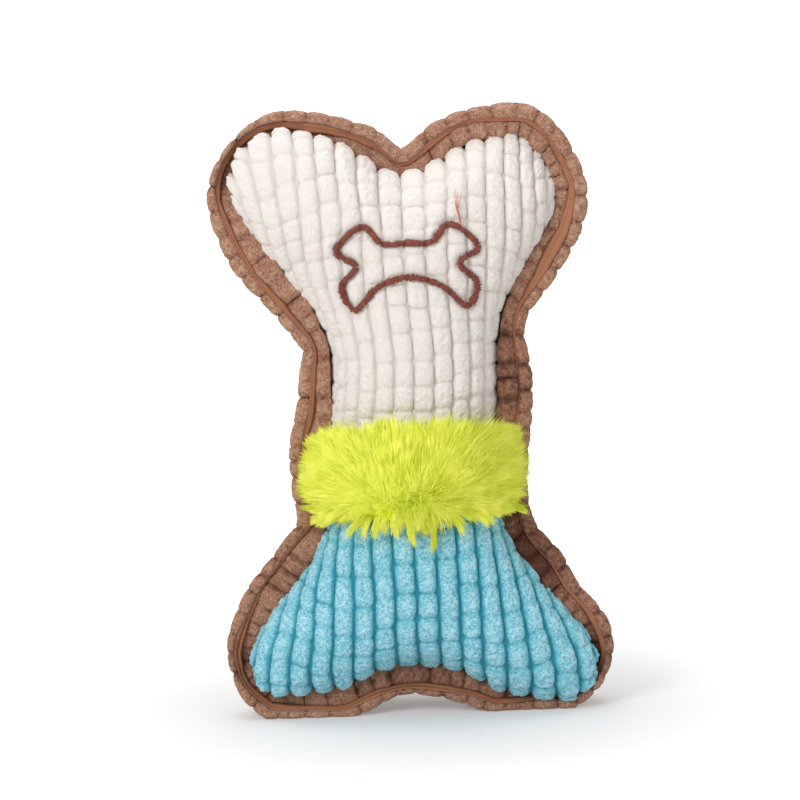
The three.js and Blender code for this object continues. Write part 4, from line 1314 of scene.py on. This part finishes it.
class BONETOY_OT_fur_band(bpy.types.Operator):
    """Root the lime fur in its band across the waist"""

    bl_idname = "bonetoy.fur_band"
    bl_label = "Fur band"

    def execute(self, context):
        fur, colours = context.scene.bonetoy_fur, context.scene.bonetoy_colours
        look = finish_of(
            "lime_fur",
            "Long pile",
            {"Root": colours.lime_root, "Tip": colours.lime_tip},
            (("Along", "along"), ("Tuft", "tuft")),
            # painted glow: the fur gives off a little light in its own colour, in place of light that
            # scatters through its strands
            painted_glow=True,
            emission_strength=0.22,
            specular_ior_level=0.2,
        )
        self.skin(look)
        for part, start in (("far_left", -1), ("left", -0.5), ("right", 0), ("far_right", 0.5)):
            self.pile(fur, look, (start, start + 0.5), "lime_fur_pile_" + part)
        return {"FINISHED"}

    @staticmethod
    def place(across, z):
        """Places on the band from a share across it, -1 to 1, and a height."""
        half = np.interp(z, *FRONT.level)
        bend = across * (1.5 - 0.5 * np.abs(across))
        x = half * np.sign(across) * np.minimum(np.abs(bend), 0.999)
        return np.stack([x, FRONT.depth(x, z), z], 1)

    def skin(self, look):
        columns, rows = 121, 33
        heights = np.linspace(BAND_BOTTOM + SEAM_HALF_SLOT, BAND_TOP - SEAM_HALF_SLOT, rows)
        across, z = np.meshgrid(np.linspace(-1, 1, columns), heights)
        points = self.place(across.ravel(), z.ravel())
        lump = noise(131, 3 * MM, *points.T)
        points += FRONT.normal(points[:, 0], points[:, 2]) * (FUR_SKIN + FUR_LUMP * lump)[:, None]
        index = np.arange(rows * columns).reshape(rows, columns)
        quads = np.stack([index[:-1, :-1], index[:-1, 1:], index[1:, 1:], index[1:, :-1]], -1).reshape(-1, 4)
        zero = np.zeros(len(points))
        # the skin takes the darker root colour: painted shade under the strands
        made = piece("lime_fur_skin", settle(points), quads.tolist(), look, along=zero, tuft=zero + 0.3)
        on_front(made, "lime_fur_band")

    def roots(self, random, count, span):
        low, high = BAND_BOTTOM + 1.5 * MM, BAND_TOP + 1 * MM
        return self.place(random.uniform(*span, count), random.uniform(low, high, count))

    @staticmethod
    def sweep(points, random):
        """Which way the pile lies: out from the cloth, up and down from a ragged parting, out at the ends."""
        x, z = points[:, 0], points[:, 2]
        away = np.zeros_like(points)
        parting = PARTING + 3 * MM * noise(133, 11 * MM, x) + 2.5 * MM * random.normal(size=len(x))
        away[:, 0] = 1.15 * np.sign(x) * smooth(5 * MM, 27 * MM, np.abs(x)) + 0.4 * noise(134, 8 * MM, x, z)
        away[:, 0] *= 1 - smooth(*UPPER_FUR, z) * np.where(x < 0, 0.7, 0.45)
        away[:, 2] = np.tanh((z - parting) / (3 * MM)) * (1 - 0.35 * smooth(10 * MM, 30 * MM, np.abs(x)))
        return unit(0.5 * FRONT.normal(x, z) + 0.85 * away + 0.18 * random.normal(size=points.shape))

    def pile(self, fur, look, span, name):
        random = np.random.default_rng(FUR_SEED + int(2 * span[0]))
        tufts = self.roots(random, fur.tufts, span)
        lie = self.sweep(tufts, random)
        lock = (tufts[:, 2] < LOCKS_UNDER) & (random.random(fur.tufts) < 0.4)
        reach = fur.strand * random.uniform(0.85, 1.1, fur.tufts) * np.where(lock, 0.85, self.shorter(tufts))
        tips = tufts + lie * reach[:, None]
        roots = self.roots(random, fur.strands, span)
        owner = np.concatenate([
            np.argmin(((part[:, None] - tufts[None]) ** 2).sum(2), axis=1)
            for part in np.array_split(roots, 20)
        ])
        own = self.sweep(roots, random)
        long = fur.strand * random.uniform(0.42, 1.18, len(roots)) * self.shorter(roots)
        long *= 1 - 0.4 * random.random(len(roots)) * smooth(20 * MM, 28 * MM, np.abs(roots[:, 0]))
        gather = np.where(lock[owner], 0.78, random.uniform(0.2, 0.7, len(roots)))[:, None]
        goal = (1 - gather) * (roots + own * long[:, None]) + gather * tips[owner]
        goal += 0.45 * MM * random.normal(size=roots.shape)
        normal = FRONT.normal(roots[:, 0], roots[:, 2])
        steps = np.array([0, 0.4, 0.75, 1])
        arch = (4 * steps * (1 - steps))[None, :, None] * (0.14 * long)[:, None, None] * normal[:, None, :]
        paths = roots[:, None] + (goal - roots)[:, None] * steps[None, :, None] + arch
        paths[:, :, 2] -= (steps**2)[None, :] * (0.06 * long)[:, None]
        paths[:, 0] -= 0.5 * MM * normal
        over_rim = smooth(*FUR_ENDS, np.abs(paths[:, :, 0]))
        paths[:, :, 1] = np.minimum(paths[:, :, 1], SEAM_Y - OVER_RIM * over_rim)
        taper = fur.thickness * np.array([1, 0.85, 0.55, 0.1])
        points, faces = tubes(paths, taper[None, :], FUR_SIDES, pointed=True)
        per_strand = np.append(np.repeat(steps[:-1], FUR_SIDES), steps[-1])
        along = np.tile(per_strand, len(roots))
        tuft = random.random(fur.tufts)[owner] * 0.6 + 0.4 * random.random(len(roots))
        tuft = np.repeat(tuft, len(per_strand))
        made = piece(name, settle(points), faces, look, along=along, tuft=tuft)
        self.soften(made, np.repeat(normal, len(per_strand), 0))
        on_front(made, "lime_fur_band")

    @staticmethod
    def shorter(points):
        """The pile lies shorter towards the ends of the band, most at the left, and below the parting."""
        x, _, z = points.T
        corner = 0.2 * smooth(*UPPER_FUR, z)
        ends = 1 - smooth(18 * MM, 31 * MM, np.abs(x)) * (np.where(x < 0, 0.3, 0.08) + corner)
        return ends * (1 - 0.5 * smooth(-84 * MM, -74 * MM, -z))

    @staticmethod
    def soften(made, skin_normals):
        """Turns the strands' shading normals towards the skin's, as light scatters through thin hair."""
        soft = unit(0.2 * read(made.data, "normal") + 0.8 * skin_normals)
        made.data.normals_split_custom_set_from_vertices(soft.tolist())


# Stitching
RIM_SEAM_STEPS = 2400
THREAD_RADIUS = 0.3 * MM
STITCH_PITCH = 3 * MM
STITCH_ARCH = 0.18 * MM
STITCH_POINTS = 7
RIM_SEAM = (8.85 * MM, 0.7 * MM)  # depth in the rim, and forward of the seam
BAND_SEAM_SUNK = 1.6 * MM  # how far the seams of the band lie under the front's swell


class BONETOY_OT_embroidery(bpy.types.Operator):
    """Stitch the small bone on the cream panel, with its loose thread end"""

    bl_idname = "bonetoy.embroidery"
    bl_label = "Embroidery"

    def execute(self, context):
        colours = context.scene.bonetoy_colours
        random = np.random.default_rng(STITCH_SEED)
        line = motif_line(STITCHES)
        along, across = along_and_across(line)
        way = across * math.cos(SATIN_SLANT) + along * math.sin(SATIN_SLANT)
        way += 0.12 * random.normal(size=way.shape)
        half = SATIN_HALF * random.uniform(0.78, 1.2, STITCHES)
        shares = np.linspace(-1, 1, 7)
        flat = line[:, None] + way[:, None] * (half[:, None] * shares[None])[..., None]
        x, z = flat[..., 0], flat[..., 1]
        arch = SATIN_ARCH * np.sqrt(np.clip(1 - 0.9 * shares**2, 0, 1)) - SATIN_SUNK
        lift = arch[None] + self.dip(x, z, cream_cloth(context.scene.bonetoy_cloth))
        lift += 0.17 * MM * random.normal(size=(STITCHES, 1))
        paths = FRONT.lifted(x, z, lift)
        radii = SATIN_RADIUS * random.uniform(0.8, 1.2, (STITCHES, 1))
        points, faces = tubes(paths, radii, 6)
        look = thread_finish("embroidery_thread", colours.embroidery)
        strand = np.repeat(random.random(STITCHES), len(points) // STITCHES)
        made = piece("bone_embroidery_stitches", settle(points), faces, look, strand=strand)
        on_front(made, "bone_embroidery")
        self.loose_end(colours)
        return {"FINISHED"}

    @staticmethod
    def dip(x, z, cloth):
        """How far the stitches sink where they cross a groove between two cords."""
        runs, reaches = FRONT.girth(1, z.ravel() - WAIST_MIDDLE)
        away = np.array([np.interp(abs(px), reach, run) for px, reach, run in zip(x.ravel(), reaches, runs)])
        cord = np.sign(x.ravel()) * away / cloth.pitch
        return (-GROOVE_DIP * smooth(0.62, 1.0, off_middle(cord))).reshape(x.shape)

    @staticmethod
    def loose_end(colours):
        route = np.array([
            (19.9, 179.6), (19.6, 181.4), (19.2, 182.8), (18.8, 184.2),
            (18.8, 185.6), (19.0, 187.6), (18.9, 189.6),
        ]) * MM
        lift = np.array([0.4, 1.0, 1.0, 1.3, 1.5, 1.7, 2.0]) * MM
        frayed = np.clip(np.linspace(-0.8, 1, len(route)), 0, 1)
        paths, steps = [], 24
        for aside in (-0.9, -0.2, 0.6, 1.5):
            x, z = route[:, 0] + aside * MM * frayed, route[:, 1] - abs(aside) * MM * frayed
            paths.append(even(FRONT.lifted(x, z, lift), steps))
        radii = np.interp(np.linspace(0, 1, steps), (0, 0.4, 0.6, 1), (0.4, 0.34, 0.14, 0.07)) * MM
        points, faces = tubes(np.stack(paths), radii[None], 7)
        look = thread_finish("embroidery_thread_end", colours.loose_end)
        made = piece("embroidery_loose_end", settle(points), faces, look, strand=np.full(len(points), 0.8))
        on_front(made, "bone_embroidery")


class BONETOY_OT_seam_threads(bpy.types.Operator):
    """Sew the rim and the two seams of the fur band"""

    bl_idname = "bonetoy.seam_threads"
    bl_label = "Seam threads"

    def execute(self, context):
        look = thread_finish("sewing_thread", context.scene.bonetoy_colours.sewing)
        outline = Outline(RIM_SEAM_STEPS)
        rim = outline.rim(*(outline.zero + measure for measure in RIM_SEAM))
        made = self.sew("rim_stitches", sway(np.concatenate([rim, rim[:1]])), look)
        on_back(made, "rim_seam_thread")
        for name, node, z in (
            ("cream_fur_stitches", "cream_fur_seam_thread", BAND_TOP),
            ("fur_turquoise_stitches", "fur_turquoise_seam_thread", BAND_BOTTOM),
        ):
            x = np.linspace(-26.5, 26.5, 160) * MM
            level = np.full(len(x), z)
            line = np.stack([x, FRONT.depth(x, level) + BAND_SEAM_SUNK, level], 1)
            made = self.sew(name, settle(line), look)
            on_front(made, node)
        return {"FINISHED"}

    @staticmethod
    def sew(name, line, look):
        """A row of lock stitches along a line, each a short arched thread."""
        count = int(reach_along(line)[-1] / STITCH_PITCH)
        paths = even(line, count * STITCH_POINTS + 1)[:-1].reshape(count, STITCH_POINTS, 3)
        paths[:, :, 1] -= STITCH_ARCH * np.sin(np.linspace(0, math.pi, STITCH_POINTS))
        points, faces = tubes(paths, THREAD_RADIUS, 6)
        strand = np.repeat(scatter(3, np.arange(count), np.arange(count)), len(points) // count)
        return piece(name, points, faces, look, strand=strand)


# Inside
WAD_GRAIN = 1.7 * MM
WAD_DRAWN_IN = 1.5 * MM  # how far the wads keep inside their solids, clear of the grooves of the cloth


class BONETOY_OT_stuffing(bpy.types.Operator):
    """Tease the stuffing into lumpy wads of fibre"""

    bl_idname = "bonetoy.stuffing"
    bl_label = "Stuffing"

    def execute(self, context):
        fibre = context.scene.bonetoy_colours.fibre
        look = finish_of(
            "polyester_fibre",
            "Cut pile",
            {"Crown": fibre, "Groove": darker(fibre, 0.8), "Fleck": lighter(fibre, 0.5), "Speckle": 0.5},
            (("Pile", "pile"),),
            bump=0.8,
            bump_size=0.6 * MM,
            sheen_weight=0.4,
        )
        for name in sorted(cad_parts):
            if name.startswith("fill_"):
                self.wad(name, look)
        return {"FINISHED"}

    @staticmethod
    def wad(name, look):
        source = bpy.data.objects.new("wad_" + name[len("fill_"):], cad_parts[name].data.copy())
        bpy.context.scene.collection.objects.link(source)
        remesh = source.modifiers.new("Even", "REMESH")
        remesh.mode = "VOXEL"
        remesh.voxel_size = WAD_GRAIN
        source.modifiers.new("Soft", "SMOOTH").iterations = 3
        shaped = source.evaluated_get(bpy.context.evaluated_depsgraph_get())
        mesh = bpy.data.meshes.new_from_object(shaped)
        source.modifiers.clear()
        source.data = mesh
        points, normals = read(mesh, "co"), read(mesh, "normal")
        curl = noise(151, 7 * MM, *points.T) + 0.6 * noise(152, 3 * MM, *points.T)
        points = points + normals * (0.35 * MM * curl - WAD_DRAWN_IN)[:, None]
        points = sway(points, smooth(20 * MM, 34 * MM, np.abs(points[:, 0])))
        mesh.vertices.foreach_set("co", points.ravel())
        put_on(mesh, look, pile=0.7 + 0.3 * curl)
        mesh.update()
        inside(source, name)


class BONETOY_OT_squeaker(bpy.types.Operator):
    """Blow the squeaker's soft bulb and finish its hard pieces"""

    bl_idname = "bonetoy.squeaker"
    bl_label = "Squeaker"

    def execute(self, context):
        colours = context.scene.bonetoy_colours
        soft = moulded_finish("soft_plastic", colours.soft_plastic, subsurface_weight=0.2)
        hard = moulded_finish("hard_plastic", colours.hard_plastic)
        self.bulb(soft)
        for name in ("squeaker_sleeve", "squeaker_reed_block", "squeaker_reed_wedge", "squeaker_reed"):
            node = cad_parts[name]
            node.data.materials.clear()
            node.data.materials.append(soft if name == "squeaker_reed" else hard)
        return {"FINISHED"}

    @staticmethod
    def bulb(look):
        wall, pleat = 1.2 * MM, 3 * MM

        def side(inset):
            radius, half = BULB_RADIUS - inset, BULB_HALF - inset
            bends = ((0.8, -1), (0.92, -0.98), (0.985, -0.88), (1, -0.72), (1, -0.5), (0.985, -0.34))
            rise = [(radius * r, half * h) for r, h in bends]
            return rise + [(radius - pleat, 0)] + [(r, -h) for r, h in reversed(rise)]

        outer, inner = side(0), side(wall)
        profile = [(0.0, -BULB_HALF), *outer, (BULB_HOLE, BULB_HALF)]
        profile += [(BULB_HOLE, BULB_HALF - wall), *reversed(inner), (0.0, wall - BULB_HALF)]
        turns = 64
        angle = 2 * math.pi * np.arange(turns) / turns
        rows = [
            np.stack([r * np.cos(angle), np.full(turns, SEAM_Y + y), SQUEAKER_HEIGHT + r * np.sin(angle)], 1)
            for r, y in profile
        ]
        made = piece("squeaker_soft_bulb", np.concatenate(rows), ring_faces(len(rows), turns), look)
        weld(made)
        inside(made, "squeaker_bulb")


# Stage
PICTURE = 800  # pixels across the picture
PIXEL = 0.3647 * MM  # across one pixel at the toy
FOOT_MARK = (421, 709)  # the pixel at which the middle of the foot stands
SENSOR = 36  # width of the camera's sensor in millimetres
FLOOR_SHADE = 0.86
FLOOR_GLOW = 1.4  # with which the floor away from the toy burns out to white
NEAR_TOY = (0.03, 0.28)  # metres from the foot over which the glow comes in
LAMPS = (("Key", (-0.66, -1.0, 0.74), 0.6), ("Top", (-0.1, 0.1, 1.2), 1.0), ("Fill", (0.9, -0.7, 0.5), 0.8))


class BONETOY_OT_stage(bpy.types.Operator):
    """Set the floor, the lights and the camera"""

    bl_idname = "bonetoy.stage"
    bl_label = "Stage"

    def execute(self, context):
        stage = context.scene.bonetoy_stage
        context.scene.view_settings.view_transform = "Standard"
        self.camera(context, stage)
        self.floor()
        self.world(context, stage)
        for name, place, size in LAMPS:
            self.lamp(name, place, size, getattr(stage, name.lower()))
        return {"FINISHED"}

    @staticmethod
    def camera(context, stage):
        mark = Vector((FOOT_MARK[0] - PICTURE / 2, PICTURE / 2 - FOOT_MARK[1])) * PIXEL
        lift, roll = stage.elevation, stage.roll
        ahead = Vector((0, math.cos(lift), -math.sin(lift)))
        level_up = Vector((0, math.sin(lift), math.cos(lift)))
        right = Vector((1, 0, 0)) * math.cos(roll) - level_up * math.sin(roll)
        up = level_up * math.cos(roll) + Vector((1, 0, 0)) * math.sin(roll)
        data = bpy.data.cameras.new("Camera")
        data.sensor_width = SENSOR
        data.lens = data.sensor_width * stage.distance / (PICTURE * PIXEL)
        data.clip_start, data.clip_end = 0.05, 20
        made = bpy.data.objects.new("Camera", data)
        foot = Vector((0, SEAM_Y, 0))
        place = foot - ahead * stage.distance - right * mark.x - up * mark.y
        axes = Matrix((right, up, -ahead)).transposed().to_4x4()
        made.matrix_world = Matrix.Translation(place) @ axes
        context.scene.collection.objects.link(made)
        context.scene.camera = made

    @staticmethod
    def floor():
        material = bpy.data.materials.new("white_floor")
        material.use_nodes = True
        tree = material.node_tree
        shader = tree.nodes["Principled BSDF"]
        shader.inputs["Base Color"].default_value = (FLOOR_SHADE, FLOOR_SHADE, FLOOR_SHADE, 1)
        shader.inputs["Roughness"].default_value = 0.9
        glow = add(tree, "ShaderNodeEmission", strength=FLOOR_GLOW)
        rays = add(tree, "ShaderNodeLightPath")
        place = add(tree, "ShaderNodeTexCoord")
        away = add(tree, "ShaderNodeVectorMath", operation="LENGTH")
        tree.links.new(place.outputs["Object"], away.inputs[0])
        open_floor = spread(tree, away.outputs["Value"], *NEAR_TOY, 0.15, 1)
        seen = times(tree, rays.outputs["Is Camera Ray"], open_floor)
        blend_node = add(tree, "ShaderNodeMixShader")
        for output, socket in zip((seen, shader.outputs[0], glow.outputs[0]), blend_node.inputs):
            tree.links.new(output, socket)
        tree.links.new(blend_node.outputs[0], tree.nodes["Material Output"].inputs["Surface"])
        bpy.ops.mesh.primitive_grid_add(x_subdivisions=8, y_subdivisions=8, size=40)
        made = bpy.context.object
        made.name = "white_floor"
        made.data.materials.append(material)

    @staticmethod
    def world(context, stage):
        world = bpy.data.worlds.new("Studio")
        world.use_nodes = True
        context.scene.world = world
        tree = world.node_tree
        backdrop = tree.nodes["Background"]
        backdrop.inputs["Color"].default_value = (1, 1, 1, 1)
        rays = add(tree, "ShaderNodeLightPath")
        strength = add(tree, "ShaderNodeMapRange")
        tree.links.new(rays.outputs["Is Camera Ray"], strength.inputs[0])
        strength.inputs[3].default_value = stage.ambient
        strength.inputs[4].default_value = 1
        tree.links.new(strength.outputs[0], backdrop.inputs["Strength"])

    @staticmethod
    def lamp(name, place, size, power):
        data = bpy.data.lights.new(name, "AREA")
        data.shape = "DISK"
        data.size = size
        data.energy = power
        made = bpy.data.objects.new(name, data)
        made.location = place
        aim = Vector((0, 0, 0.1)) - made.location
        made.rotation_euler = aim.to_track_quat("-Z", "Y").to_euler()
        bpy.context.scene.collection.objects.link(made)


class BONETOY_PT_panel(bpy.types.Panel):
    """Pieces of the toy, in the order in which they are made"""

    bl_idname = "BONETOY_PT_panel"
    bl_label = "Bone toy"
    bl_space_type = "VIEW_3D"
    bl_region_type = "UI"
    bl_category = "Bone toy"

    def draw(self, context):
        for operator in OPERATORS:
            self.layout.operator(operator.bl_idname)
        for key in SETTINGS:
            box = self.layout.box()
            settings = getattr(context.scene, key)
            for name in settings.__annotations__:
                box.prop(settings, name)


SETTINGS = {
    "bonetoy_cloth": BoneToyCloth,
    "bonetoy_fur": BoneToyFur,
    "bonetoy_colours": BoneToyColours,
    "bonetoy_stage": BoneToyStage,
}
OPERATORS = (
    BONETOY_OT_stage,
    BONETOY_OT_front_panels,
    BONETOY_OT_back_panel,
    BONETOY_OT_rim_layers,
    BONETOY_OT_fur_band,
    BONETOY_OT_embroidery,
    BONETOY_OT_seam_threads,
    BONETOY_OT_stuffing,
    BONETOY_OT_squeaker,
)


def register():
    for made in (*SETTINGS.values(), *OPERATORS, BONETOY_PT_panel):
        bpy.utils.register_class(made)
    for key, settings in SETTINGS.items():
        setattr(bpy.types.Scene, key, PointerProperty(type=settings))


def unregister():
    for key in SETTINGS:
        delattr(bpy.types.Scene, key)
    for made in (BONETOY_PT_panel, *OPERATORS[::-1], *SETTINGS.values()):
        bpy.utils.unregister_class(made)


def main():
    register()
    for operator in OPERATORS:
        area, name = operator.bl_idname.split(".")
        getattr(getattr(bpy.ops, area), name)()


if __name__ == "__main__":
    main()
